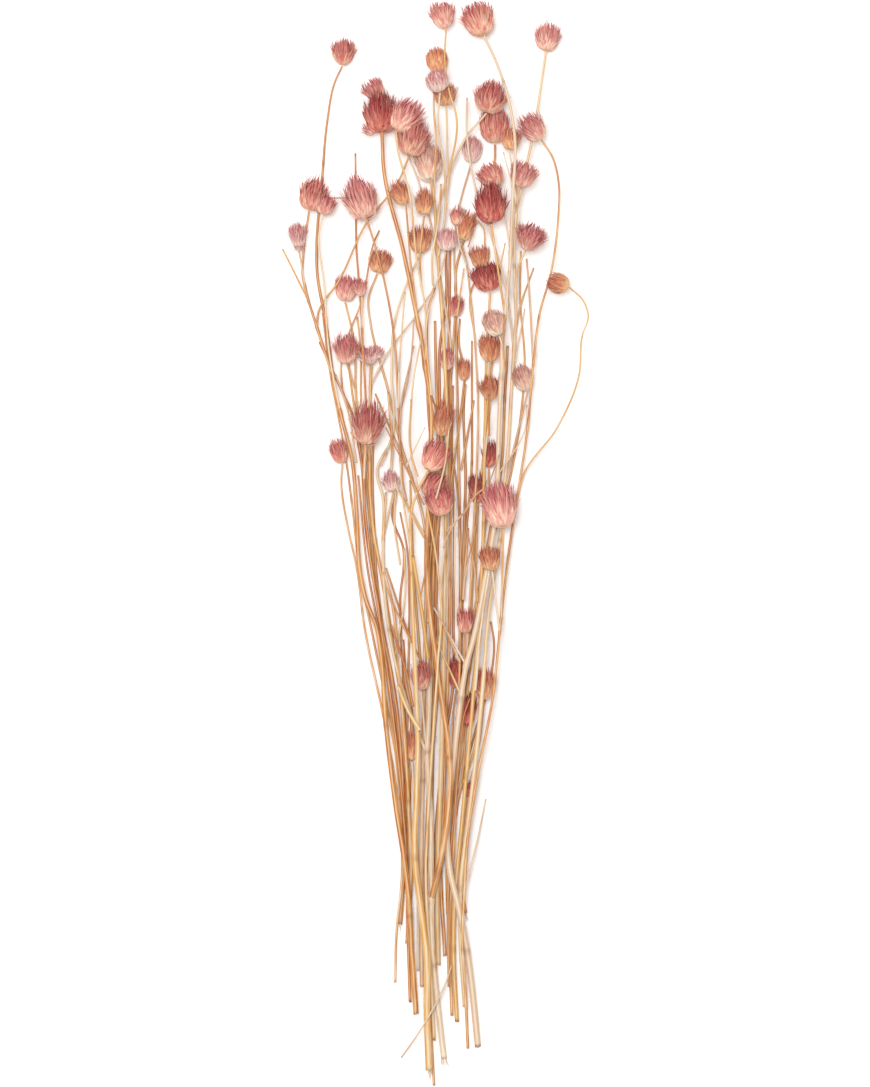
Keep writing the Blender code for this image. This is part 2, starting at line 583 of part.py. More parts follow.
class Table:
    """What lies on the table already: straight stretches with their heights and radii."""

    def __init__(self):
        self.rows = []
        self.owners = []

    def add(self, owner, line):
        for a, b, ra, rb, kind in stretches(line):
            low, high = head_span(a, b, ra) if kind == "head" else (0.0, 1.0)
            ends = [
                (a.x + (b.x - a.x) * t, a.y + (b.y - a.y) * t, a.z + (b.z - a.z) * t) for t in (low, high)
            ]
            self.rows.append((*ends[0], ra, *ends[1], rb))
            self.owners.append((owner, line, kind))

    def forget_from(self, count):
        del self.rows[count:]
        del self.owners[count:]

    def least_heights(self, balls, counts, touching):
        """The least height of each ball's middle, over the table and the stretches that count for it."""
        if not self.rows:
            return balls[:, 2]
        row = np.array(self.rows)
        dx, dy = row[:, 4] - row[:, 0], row[:, 5] - row[:, 1]
        length = np.maximum(dx * dx + dy * dy, 1e-12)
        x, y, radius = balls[:, :1], balls[:, 1:2], balls[:, 2:3]
        t = np.clip(((x - row[:, 0]) * dx + (y - row[:, 1]) * dy) / length, 0, 1)
        away = np.hypot(row[:, 0] + dx * t - x, row[:, 1] + dy * t - y)
        both = row[:, 3] + (row[:, 7] - row[:, 3]) * t + radius
        reach = np.where(touching, both * TOUCH, both + CLEARANCE)
        over = row[:, 2] + (row[:, 6] - row[:, 2]) * t + np.sqrt(np.maximum(reach**2 - away**2, 0))
        return np.maximum(balls[:, 2], np.where(counts & (away < reach), over, 0).max(axis=1))


def samples(line):
    """Balls along a line: (index of the stretch, share of the way, x, y, radius, kind)."""
    found = []
    for i, (a, b, ra, rb, kind) in enumerate(stretches(line)):
        low, high = head_span(a, b, ra) if kind == "head" else (0.0, 1.0)
        steps = max(1, math.ceil(a.away(b.x, b.y) * (high - low) / SAMPLE_STEP))
        for step in range(steps + 1):
            t = low + (high - low) * step / steps
            found.append((i, t, a.x + (b.x - a.x) * t, a.y + (b.y - a.y) * t, ra + (rb - ra) * t, kind))
    return found


def needed_heights(line, owner, table):
    """The least height at each sample of a line, over what is in its way.

    Side stems of one plant may touch, but no stem touches a head, save that some heads touch.
    """
    mates = [name for group in HEADS_TOGETHER if line.route.head in group for name in group]
    others = np.array([o != owner for o, _, _ in table.owners], bool)
    heads = np.array([kind == "head" for _, _, kind in table.owners], bool)
    touching = np.array([kind == "head" and o.route.head in mates for _, o, kind in table.owners], bool)
    balls = samples(line)
    is_head = np.array([ball[5] == "head" for ball in balls])[:, None]
    return table.least_heights(
        np.array([ball[2:5] for ball in balls]), others | heads | is_head, touching & is_head
    )


def sloped(heights, places):
    """The lowest line over some heights that is nowhere steeper than a stem may be."""
    apart = np.abs(places[:, None] - places[None, :])
    return (heights[None, :] - STEEPEST * apart).max(axis=1)


def along(line):
    """Distance of each sample from the line's foot, and of each knot."""
    ends = [0.0]
    for a, b, _, _, _ in stretches(line):
        ends.append(ends[-1] + a.away(b.x, b.y))
    places = [ends[i] + (ends[i + 1] - ends[i]) * t for i, t, *_ in samples(line)]
    return np.array(places), np.array(ends)


def raised(level, spots, fixed):
    """Raises knots just enough for the straight stretches to clear the needed heights."""
    worst = 0.0
    for i, t, need in spots:
        lack = need - (level[i] * (1 - t) + level[i + 1] * t)
        if lack <= 0:
            continue
        worst = max(worst, lack)
        shares = (0 if fixed[i] else 1 - t, 0 if fixed[i + 1] else t)
        weight = shares[0] * (1 - t) + shares[1] * t
        if weight > LEAST_WEIGHT:
            level[i] += lack * shares[0] / weight
            level[i + 1] += lack * shares[1] / weight
    return worst


def settle(line, heights, held):
    """Gives the knots their heights: a stiff stem that clears the needed heights and droops at its end.

    Some of its forks are held up to a height, for the side stems that start there.
    """
    knots = line.knots + ([line.tip] if line.tip else [])
    places, ends = along(line)
    slope = sloped(heights, places)
    fixed = [knot.settled for knot in knots]
    least = np.array([knot.z if knot.settled else held.get(knot, 0) for knot in knots])
    level = np.where(fixed, least, np.maximum(np.interp(ends, places, slope), least))
    spots = [(ball[0], ball[1], need) for ball, need in zip(samples(line), heights)]
    steps = np.diff(ends)
    for _ in range(STIFFNESS):
        straight = level[:-2] + (level[2:] - level[:-2]) * steps[:-1] / (steps[:-1] + steps[1:])
        level[1:-1] = np.maximum((level[1:-1] + straight) / 2, least[1:-1])
        raised(level, spots, fixed)
    for _ in range(MOST_TURNS):
        if raised(level, spots, fixed) < CLOSE_ENOUGH:
            break
    for knot, height in zip(knots, level):
        knot.z = float(height)
        knot.settled = True


def lay_plant(name, routes, table, forks):
    """Lays one flower stem over the table, with some forks held up.

    It gives back the stem's lines, and the forks that lie too low for their side stems.
    """
    lines = plant_lines(routes)
    feet = [line.knots[0] for line in lines]
    places = [(foot.x, foot.y) for foot in feet]
    held = {foot: forks[place] for foot, place in zip(feet, places) if place in forks}
    low = {}
    for line, place in zip(lines, places):
        heights = needed_heights(line, name, table)
        start = sloped(heights, along(line)[0])[0]
        if line.knots[0].settled and start > line.knots[0].z + FORK_STEP:
            low[place] = start
        settle(line, heights, held)
        table.add(name, line)
    return lines, low


def lay(stems):
    """Lays every flower stem on the table, in order, each over what lies there already."""
    table = Table()
    plants = {}
    for name, routes in ({name: inside_plant(rows) for name, rows in INSIDE.items()} | stems).items():
        before = len(table.rows)
        forks = {}
        for _ in range(FORK_TURNS):
            table.forget_from(before)
            plants[name], low = lay_plant(name, routes, table, forks)
            if not low:
                break
            for place, height in low.items():
                forks[place] = max(height, forks.get(place, 0)) + FORK_STEP
    return plants


def new_object(name, mesh):
    obj = bpy.data.objects.new(name, mesh)
    bpy.context.scene.collection.objects.link(obj)
    return obj


def tube(name, points):
    """A stem along some points, each with its radius, as a closed mesh with flat ends."""
    curve = bpy.data.curves.new(name, "CURVE")
    curve.dimensions = "3D"
    curve.twist_mode = "Z_UP"
    curve.bevel_depth = MM
    curve.bevel_resolution = 0 if max(radius for _, radius in points) < THIN_STEM else 1
    curve.use_fill_caps = True
    spline = curve.splines.new("POLY")
    spline.points.add(len(points) - 1)
    for point, (place, radius) in zip(spline.points, points):
        point.co = (*place, 1)
        point.radius = radius / MM
    guide = new_object(name + "_curve", curve)
    mesh = bpy.data.meshes.new_from_object(guide.evaluated_get(bpy.context.evaluated_depsgraph_get()))
    bpy.data.objects.remove(guide)
    shape = bmesh.new()
    shape.from_mesh(mesh)
    bmesh.ops.remove_doubles(shape, verts=shape.verts, dist=SAME_POINT)
    bmesh.ops.recalc_face_normals(shape, faces=shape.faces)
    shape.to_mesh(mesh)
    shape.free()
    return new_object(name, mesh)


def stem_tube(line):
    """The tube of one line, which ends at its head's foot, or inside it where they are one node."""
    points = [(Vector((k.x, k.y, k.z)), k.radius) for k in line.knots]
    points[0] = (points[0][0], line.route.widths[1] * PIXEL / 2)
    if line.route.head in HEADS_ON_STEMS:
        axis = Vector((line.tip.x, line.tip.y, line.tip.z)) - points[-1][0]
        points.append((points[-1][0] + axis.normalized() * SUNK_STEM, points[-1][1]))
    return tube(f"stem_{line.route.head}", points)


def bract_globe(half, radius, sides, rows, seat, draw):
    """A globe of overlapping pointed bracts along Z: each is a lozenge of the globe, its tip raised.

    Its underside is flat, a little above the stem that it sits on.
    """
    shape = bmesh.new()
    bmesh.ops.create_uvsphere(shape, u_segments=sides, v_segments=rows, radius=1)
    spots = {}
    for vertex in shape.verts:
        row = round(math.acos(max(-1, min(1, vertex.co.z))) / math.pi * rows)
        turn = math.atan2(vertex.co.y, vertex.co.x)
        spots[vertex] = (row, turn, (row + round(turn / math.tau * sides)) % 2 == 1)
    for face in list(shape.faces):
        hollows = [vertex for vertex in face.verts if not spots[vertex][2]]
        if len(face.verts) == 4 and len(hollows) == 2:
            bmesh.utils.face_split(face, *hollows)
    for vertex, (row, turn, is_tip) in spots.items():
        slope = math.pi * row / rows
        reach = CORE
        if is_tip and 0 < row < rows - 1:
            slope -= TIP_SHIFT * math.pi / rows
            reach = draw.uniform(*TIPS)
        height = half * reach * math.cos(slope)
        if row == 0:
            height = half * CROWN
        if row >= rows - 1:
            height = seat - half
        wide = 0 if row in (0, rows) else radius * reach * math.sin(slope)
        vertex.co = (wide * math.cos(turn), wide * math.sin(turn), height)
    return shape


def head_globe(line):
    """The head at the top of a line, with more bracts the wider it is."""
    name = line.route.head
    on_stem = name in HEADS_ON_STEMS
    choices = BRACTS[-1:] if on_stem else BRACTS
    sides, rows = next(counts for width, *counts in choices if HEADS[name].width > width)
    base, tip = (Vector((k.x, k.y, k.z)) for k in (line.knots[-1], line.tip))
    axis = tip - base
    seat = 0 if on_stem else HEAD_SEAT
    shape = bract_globe(axis.length / 2, line.head_radius, sides, rows, seat, random.Random(name))
    upright = axis.to_track_quat("Z", "Y").to_matrix().to_4x4()
    shape.transform(Matrix.Translation((base + tip) / 2) @ upright)
    mesh = bpy.data.meshes.new(f"head_{name}")
    shape.to_mesh(mesh)
    shape.free()
    return new_object(mesh.name, mesh)


def places_along(lines):
    """Points along the middle of some stems, as an array of places and radii."""
    found = []
    for line in lines:
        for a, b in zip(line.knots, line.knots[1:]):
            for t in np.arange(0, 1, LUMP_SEARCH / a.away(b.x, b.y)):
                found.append([
                    a.x + (b.x - a.x) * t, a.y + (b.y - a.y) * t, a.z + (b.z - a.z) * t,
                    a.radius + (b.radius - a.radius) * t,
                ])
    return np.array(found)


def lump_between(name, lines, others):
    """A small lump where two flower stems come nearest, which sticks them together."""
    first, second = places_along(lines), places_along(others)
    apart = np.linalg.norm(first[:, None, :3] - second[None, :, :3], axis=2)
    gaps = apart - first[:, None, 3] - second[None, :, 3]
    i, j = np.unravel_index(np.argmin(gaps), gaps.shape)
    middle = first[i, :3] + (second[j, :3] - first[i, :3]) * (first[i, 3] + gaps[i, j] / 2) / apart[i, j]
    radius = gaps[i, j] / 2 + LUMP_DEPTH * min(first[i, 3], second[j, 3])
    shape = bmesh.new()
    bmesh.ops.create_uvsphere(shape, u_segments=LUMP_SIDES, v_segments=LUMP_ROWS, radius=radius)
    bmesh.ops.translate(shape, verts=shape.verts, vec=middle)
    mesh = bpy.data.meshes.new(name)
    shape.to_mesh(mesh)
    shape.free()
    return new_object(name, mesh)


def shells(shape):
    """The closed surfaces of a mesh, each as its faces."""
    left, found = set(shape.faces), []
    while left:
        shell, edge = set(), [left.pop()]
        while edge:
            face = edge.pop()
            shell.add(face)
            near = {other for e in face.edges for other in e.link_faces} & left
            left -= near
            edge += near
        found.append(shell)
    return found


def without_hollows(mesh):
    """Drops the sealed hollows that a union leaves where two bumpy pieces meet."""
    shape = bmesh.new()
    shape.from_mesh(mesh)
    found = sorted(shells(shape), key=len)
    assert len(found) == 1 or len(found[-2]) < len(found[-1]) / 4, f"{mesh.name}: its pieces don't meet"
    for shell in found[:-1]:
        bmesh.ops.delete(shape, geom=list(shell), context="FACES")
    shape.to_mesh(mesh)
    shape.free()


def joined(name, pieces):
    """One body made of pieces that overlap."""
    body, others = pieces[0], pieces[1:]
    if others:
        group = bpy.data.collections.new(name + "_pieces")
        bpy.context.scene.collection.children.link(group)
        for other in others:
            group.objects.link(other)
        union = body.modifiers.new("union", "BOOLEAN")
        union.operation = "UNION"
        union.operand_type = "COLLECTION"
        union.collection = group
        union.solver = "MANIFOLD"
        mesh = bpy.data.meshes.new_from_object(body.evaluated_get(bpy.context.evaluated_depsgraph_get()))
        without_hollows(mesh)
        body.modifiers.clear()
        body.data = mesh
        for other in others:
            bpy.data.objects.remove(other)
        bpy.data.collections.remove(group)
    body.name = name
    return body


def coloured(obj, colour, roughness):
    material = bpy.data.materials.new(obj.name)
    material.use_nodes = True
    shader = material.node_tree.nodes["Principled BSDF"]
    shader.inputs["Base Color"].default_value = (*colour, 1)
    shader.inputs["Roughness"].default_value = roughness
    obj.data.materials.clear()
    obj.data.materials.append(material)


def group_of(name, groups):
    return next((group for group in groups if name in group), (name,))


def set_apart(group):
    """The names that a group's node is called by: those of its traced plants."""
    return [name for name in group if name not in INSIDE]


def build_stems(plants):
    """Each flower stem with its side stems, or several that are stuck together, as one body."""
    made = []
    for name in STEMS:
        group = group_of(name, STEMS_TOGETHER)
        if name != group[0]:
            continue
        pieces = []
        for member in group:
            for line in plants[member]:
                pieces.append(stem_tube(line))
                if line.route.head in HEADS_ON_STEMS:
                    pieces.append(head_globe(line))
        for i, member in enumerate(group[1:], 1):
            others = [line for other in group[:i] for line in plants[other]]
            pieces.append(lump_between("lump", plants[member], others))
        body = joined("stem_" + "_".join(set_apart(group)), pieces)
        coloured(body, STRAW, 0.6)
        made.append(body)
    return made


def build_heads(plants):
    """Each head, or several that have grown into each other, as one body."""
    lines = {line.route.head: line for group in plants.values() for line in group if line.tip}
    made = []
    for name in HEADS:
        group = group_of(name, HEADS_TOGETHER)
        if name != group[0] or name in HEADS_ON_STEMS:
            continue
        body = joined("head_" + "_".join(group), [head_globe(lines[member]) for member in group])
        coloured(body, TONES[HEADS[name].tone], 0.75)
        made.append(body)
    return made


def put_on_origin(bodies):
    """Moves everything so that the middle of its box's underside is the origin."""
    corners = np.array([body.matrix_world @ v.co for body in bodies for v in body.data.vertices])
    low, high = corners.min(axis=0), corners.max(axis=0)
    shift = Matrix.Translation((-(low[0] + high[0]) / 2, -(low[1] + high[1]) / 2, -low[2]))
    for body in bodies:
        body.data.transform(shift)


def main():
    for obj in list(bpy.data.objects):
        bpy.data.objects.remove(obj)
    plants = lay(STEMS)
    bodies = build_stems(plants) + build_heads(plants)
    put_on_origin(bodies)
    bunch = bpy.data.collections.new("dried_globe_amaranth")
    bpy.context.scene.collection.children.link(bunch)
    for body in bodies:
        bpy.context.scene.collection.objects.unlink(body)
        bunch.objects.link(body)


if __name__ == "__main__":
    main()
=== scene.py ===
"""Dried globe amaranth, the looks of the bunch: ridged straw stems and heads of papery bracts.

The stems are laid with the same places and the same rules as the solids, so that each finer stem
and head stands where its solid does. Sizes are in metres, with MM for millimetres.
"""

import math
import random
from collections import namedtuple

import bmesh
import bpy
import numpy as np
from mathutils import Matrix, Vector


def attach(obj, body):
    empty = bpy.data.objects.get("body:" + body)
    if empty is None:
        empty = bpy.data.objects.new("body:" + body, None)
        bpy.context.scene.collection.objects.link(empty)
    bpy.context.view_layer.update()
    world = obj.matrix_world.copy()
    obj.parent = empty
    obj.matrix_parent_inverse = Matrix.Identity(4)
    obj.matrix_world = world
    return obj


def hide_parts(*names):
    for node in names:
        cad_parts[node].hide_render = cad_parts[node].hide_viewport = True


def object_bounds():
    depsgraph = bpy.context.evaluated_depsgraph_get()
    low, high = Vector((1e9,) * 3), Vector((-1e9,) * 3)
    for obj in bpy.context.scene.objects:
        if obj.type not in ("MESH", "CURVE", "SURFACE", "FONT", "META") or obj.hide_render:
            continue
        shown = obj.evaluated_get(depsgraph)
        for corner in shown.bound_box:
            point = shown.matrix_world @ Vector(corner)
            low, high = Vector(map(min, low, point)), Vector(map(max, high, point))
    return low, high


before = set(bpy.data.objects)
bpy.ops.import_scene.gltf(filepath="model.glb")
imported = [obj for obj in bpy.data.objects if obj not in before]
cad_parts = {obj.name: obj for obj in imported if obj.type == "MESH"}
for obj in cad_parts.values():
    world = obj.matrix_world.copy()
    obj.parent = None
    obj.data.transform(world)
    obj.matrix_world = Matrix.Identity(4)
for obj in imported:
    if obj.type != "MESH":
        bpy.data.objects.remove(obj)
CAD_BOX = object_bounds()

bl_info = {
    "name": "Dried globe amaranth",
    "version": (1, 0, 0),
    "blender": (4, 5, 0),
    "location": "View3D > Sidebar > Amaranth",
    "description": "Dresses a loose bunch of dried globe amaranth with stems, bracts and hairs",
    "category": "Add Mesh",
}

MM = 0.001
# One pixel of the photograph on the table, and the pixel that places are measured from.
PIXEL = 0.55 * MM
PHOTO_MIDDLE = (435.0, 544.0)

# Room between pieces, and between a head and the top of its stem.
CLEARANCE = 0.42 * MM
HEAD_SEAT = 0.3 * MM
# Heads that have grown into each other come this much closer than side by side.
TOUCH = 0.7

# A stem's course: how finely it is drawn, and how far it is then thinned out.
FINE_STRETCH = 8 * MM
LONGEST_STRETCH = 55 * MM
TRUE_TO_LINE = 0.8 * MM
# How a stem thins out (1 is evenly, more is later), and how much thicker it is at a fork.
TAPER = 1.5
SWELLING = 1.3
SWELLING_LENGTH = 3.5 * MM

# How a stem lies over others: where it is tested, its slope at most and its stiffness.
SAMPLE_STEP = 0.7 * MM
STEEPEST = 0.3
STIFFNESS = 40
LEAST_WEIGHT = 0.02
CLOSE_ENOUGH = 0.005 * MM
MOST_TURNS = 200
FORK_STEP = 0.1 * MM
FORK_TURNS = 6
# How far a head's flat foot may be from where its stem was laid, and how thick the foot's slice is.
SHIFT_ERROR = 0.3 * MM
FOOT_SLICE = 0.05 * MM

# Bracts and hairs reach this far past the box of the solids, and give way over this depth below its top.
SPARE = 1.0 * MM
GIVE = 5 * MM
# The lowest place of fine pieces over the floor, and that of a stem's middle as a share of its half width.
LOWEST = 0.02 * MM
BEDDED = 0.98

# A finer stem: the length of one ring, and its leaf joints. The first one's distance from the foot, the
# distances of the others, the room left below the top, and how far a joint swells the stem on each side.
RING_STEP = 2.2 * MM
FIRST_JOINT = (40 * MM, 120 * MM)
JOINTS_APART = (90 * MM, 210 * MM)
JOINT_TO_TOP = 20 * MM
JOINT_REACH = 1.7 * MM
# A stem that is both thinner than this, in pixels, and shorter has no joints.
THIN_STEM_PIXELS = 2.6
SHORT_STEM = 250 * MM
# A cut end: how ragged it is, how far its bark reaches in, as a share of the half width, how deep its
# pith lies, and how far and how much it is darker.
RAGGED = 0.5 * MM
BARK = 0.26
PITH_DEPTH = 0.6 * MM
END_REACH = 2.5 * MM
END_DARKNESS = 0.45
DARK_END_DARKNESS = 0.9
# The fibres of a split end: their width, their length in millimetres, and how deep in the stem they start.
FIBRE_WIDTH = 0.22 * MM
FIBRE_LENGTH = (2, 8)
FIBRE_ROOT = 2 * MM
# Where a fibre stands across the stem, as shares of its half width, and how far it bends aside and up.
FIBRE_PLACES = (-0.8, 0.8)
FIBRE_ASIDE = (-0.35, 0.35)
FIBRE_UP = (-0.1, 0.25)
# How it narrows in three steps. Its joint, darkness and chance, how wide its streaks are, and its place
# on the straw's painted shade, from underneath to on top.
FIBRE_TAPER = (0.85, 0.75, 0.4)
FIBRE_FACTS = (0, 0.1, 0.2)
FIBRE_STREAK = 2 * MM
FIBRE_SIDE = 0.6
# A streak of straw: its width and its length. Each stem starts somewhere in the first 40 of them.
STREAK = (0.8 * MM, 14 * MM)
PATTERN_SHIFT = 40

# A head of full size has this half width. Its packed core is a share of it, with a chance number and a
# grain of its own.
FULL_HEAD = 15 * PIXEL
CORE = 0.8
CORE_CHANCE = 0.3
CORE_GRAIN = 0.5 * MM
# Bracts: the fewest on a head, and the power of its size that their number grows with. Their veins: how
# far apart, how slowly they change lengthwise and how far the pattern moves from bract to bract.
FEWEST_BRACTS = 54
MORE_BRACTS = 1.2
VEIN = 0.3 * MM
VEIN_RUN = 0.8
VEIN_SHIFT = 50
# The bract tips' heights, as the cosine of their angle from the crown: the first, and over how much of
# it they are spread. From an angle on they lie close to the head, fully so after some more.
CROWN = 0.99
COVERED = 1.7
CLOSE_FROM = 1.35
CLOSE_OVER = 0.5
# A bract's root: how far below its tip, the angle at most and its depth. Its belly: where and how far out.
ROOT_BELOW = (0.85, 1.15)
LOWEST_ROOT = 3.02
ROOT_DEPTH = 0.74
BELLY = (0.62, 1.08)
# Its tip: how its lean and its depth in the outline vary, how free it stands and how long its end is.
# It follows the outline as it runs over this angle on each side.
LEAN = (0.7, 1.35)
TIP_DEPTH = (0.86, 0.96)
TIP_FREE = (0.4, 1.5)
TIP_LEAST = 0.03
TIP_END = 0.36
TIP_SIDE = 0.08
# How a bract's width, its turn round the head and its twist vary. A small head's are broader for its size.
WIDTH_ODDS = (0.8, 1.2)
TURN_ODDS = (-0.15, 0.15)
TWIST = (-0.3, 0.3)
BROADER = -0.25
# A leafy bract under a head: its reach, its rise, its width and how unevenly they stand. The guide
# points of its root, where its bend lies by its tip, and how much nearer it is to the crown's colour.
LEAFY_REACH = (0.85, 1.25)
LEAFY_RISE = (-0.75, -0.1)
LEAFY_WIDTH = (0.22, 0.34)
LEAFY_ODDS = (-0.3, 0.3)
LEAFY_ROOT = ((0.06, -1.0), (0.4, -1.0))
LEAFY_BEND = (0.8, -0.3)
LEAFY_TINT = 0.1
# A tuft points away from the head's foot, rather flat, and a little along the head.
TUFT_FLAT = (1, 1, 0.5)
TUFT_ALONG = 0.3
# The form of a papery bract: places from its root to its tip with its width there, its keel, and the
# width that its thickness is meant for.
BRACT_ROWS = ((0.0, 0.4), (0.32, 1.0), (0.62, 0.68), (0.84, 0.27), (1.0, 0.0))
KEEL = 0.16
USUAL_BRACT = 3 * MM
# How near a corner of its flat form lies to its row or its middle.
NEAR = 0.05
# The angles from the crown where silky hairs end.
HAIR_ANGLES = (1.5, 2.9)
# The angles above which an edge stays sharp.
STEM_SHARP = math.radians(50)
BRACT_SHARP = math.radians(35)

# The photograph's frame, and the camera that looks down on the bunch, with what is 15 mm up to scale.
FRAME_PIXELS = (870, 1087)
CAMERA_HEIGHT = 4.0
TRUE_HEIGHT = 15 * MM
SENSOR = 36.0
FLOOR_SIZE = 6
# Soft lamps, aimed at the middle of the bunch: place, share of the lamp power and size.
LAMPS = (((-0.2, 0.25, 4.2), 1.0, 0.9), ((-1.4, 1.1, 2.2), 0.12, 1.2))

Head = namedtuple("Head", "centre width tone")
Route = namedtuple("Route", "head widths points joins", defaults=(0,))

# The heads of each tone: name, middle on the photograph, in pixels, and width.
TONE_HEADS = {
    "rose": (
        ("01", 343, 53, 23), ("03", 479, 21.5, 30), ("11", 413, 140, 30), ("13", 490, 99.5, 31),
        ("14", 494.5, 125, 31), ("18", 492, 178, 25), ("20", 313, 196, 27), ("30", 457, 217, 14),
        ("37", 456, 307, 15), ("48", 368, 427, 29), ("49", 339, 452, 18), ("50", 434, 459, 26),
        ("52", 433, 487, 24), ("53", 440, 503, 27), ("58", 465, 622, 17), ("59", 421, 677, 20),
    ),
    "pink": (
        ("02", 443, 17, 24), ("04", 547.5, 38, 24), ("08", 375, 91, 21), ("10", 404, 119, 29),
        ("16", 533, 130, 24), ("19", 522, 178, 26), ("21", 325.5, 206, 20), ("22", 361, 201, 31),
        ("31", 529, 241, 28), ("35", 346, 289.5, 23), ("36", 360.5, 289, 14), ("41", 346, 350, 23),
        ("43", 447, 359, 15), ("56", 500, 509, 33),
    ),
    "lilac": (
        ("06", 437, 83, 24), ("17", 472, 149, 21), ("26", 298, 238, 18), ("28", 447, 240, 21),
        ("42", 369, 356, 22), ("51", 391, 482, 17),
    ),
    "orange": (
        ("05", 437, 59.5, 23), ("07", 445, 96, 22), ("15", 511, 141, 19), ("23", 401, 195, 19),
        ("24", 424, 203, 18), ("27", 420, 241, 23), ("29", 465, 227, 19), ("32", 480, 257.5, 20),
        ("33", 380, 262, 22), ("38", 558, 284, 22), ("40", 490, 350, 23), ("44", 464, 370, 13),
        ("46", 490, 390, 21), ("47", 443, 421, 20), ("57", 490, 560, 21), ("61", 484, 686, 19),
        ("63", 412, 747, 12),
    ),
    "wine": (
        ("09", 381, 115, 34), ("25", 490.5, 206, 31), ("34", 487, 279, 29), ("54", 490, 456, 16),
        ("55", 477, 490, 17), ("60", 456, 675, 17), ("62", 467, 712, 19), ("64", 468, 789, 11),
    ),
    "cream": (
        ("12", 429, 165, 27), ("39", 494, 324, 24), ("45", 523, 378, 22),
    ),
}
HEADS = {name: Head((x, y), width, tone) for tone, rows in TONE_HEADS.items() for name, x, y, width in rows}

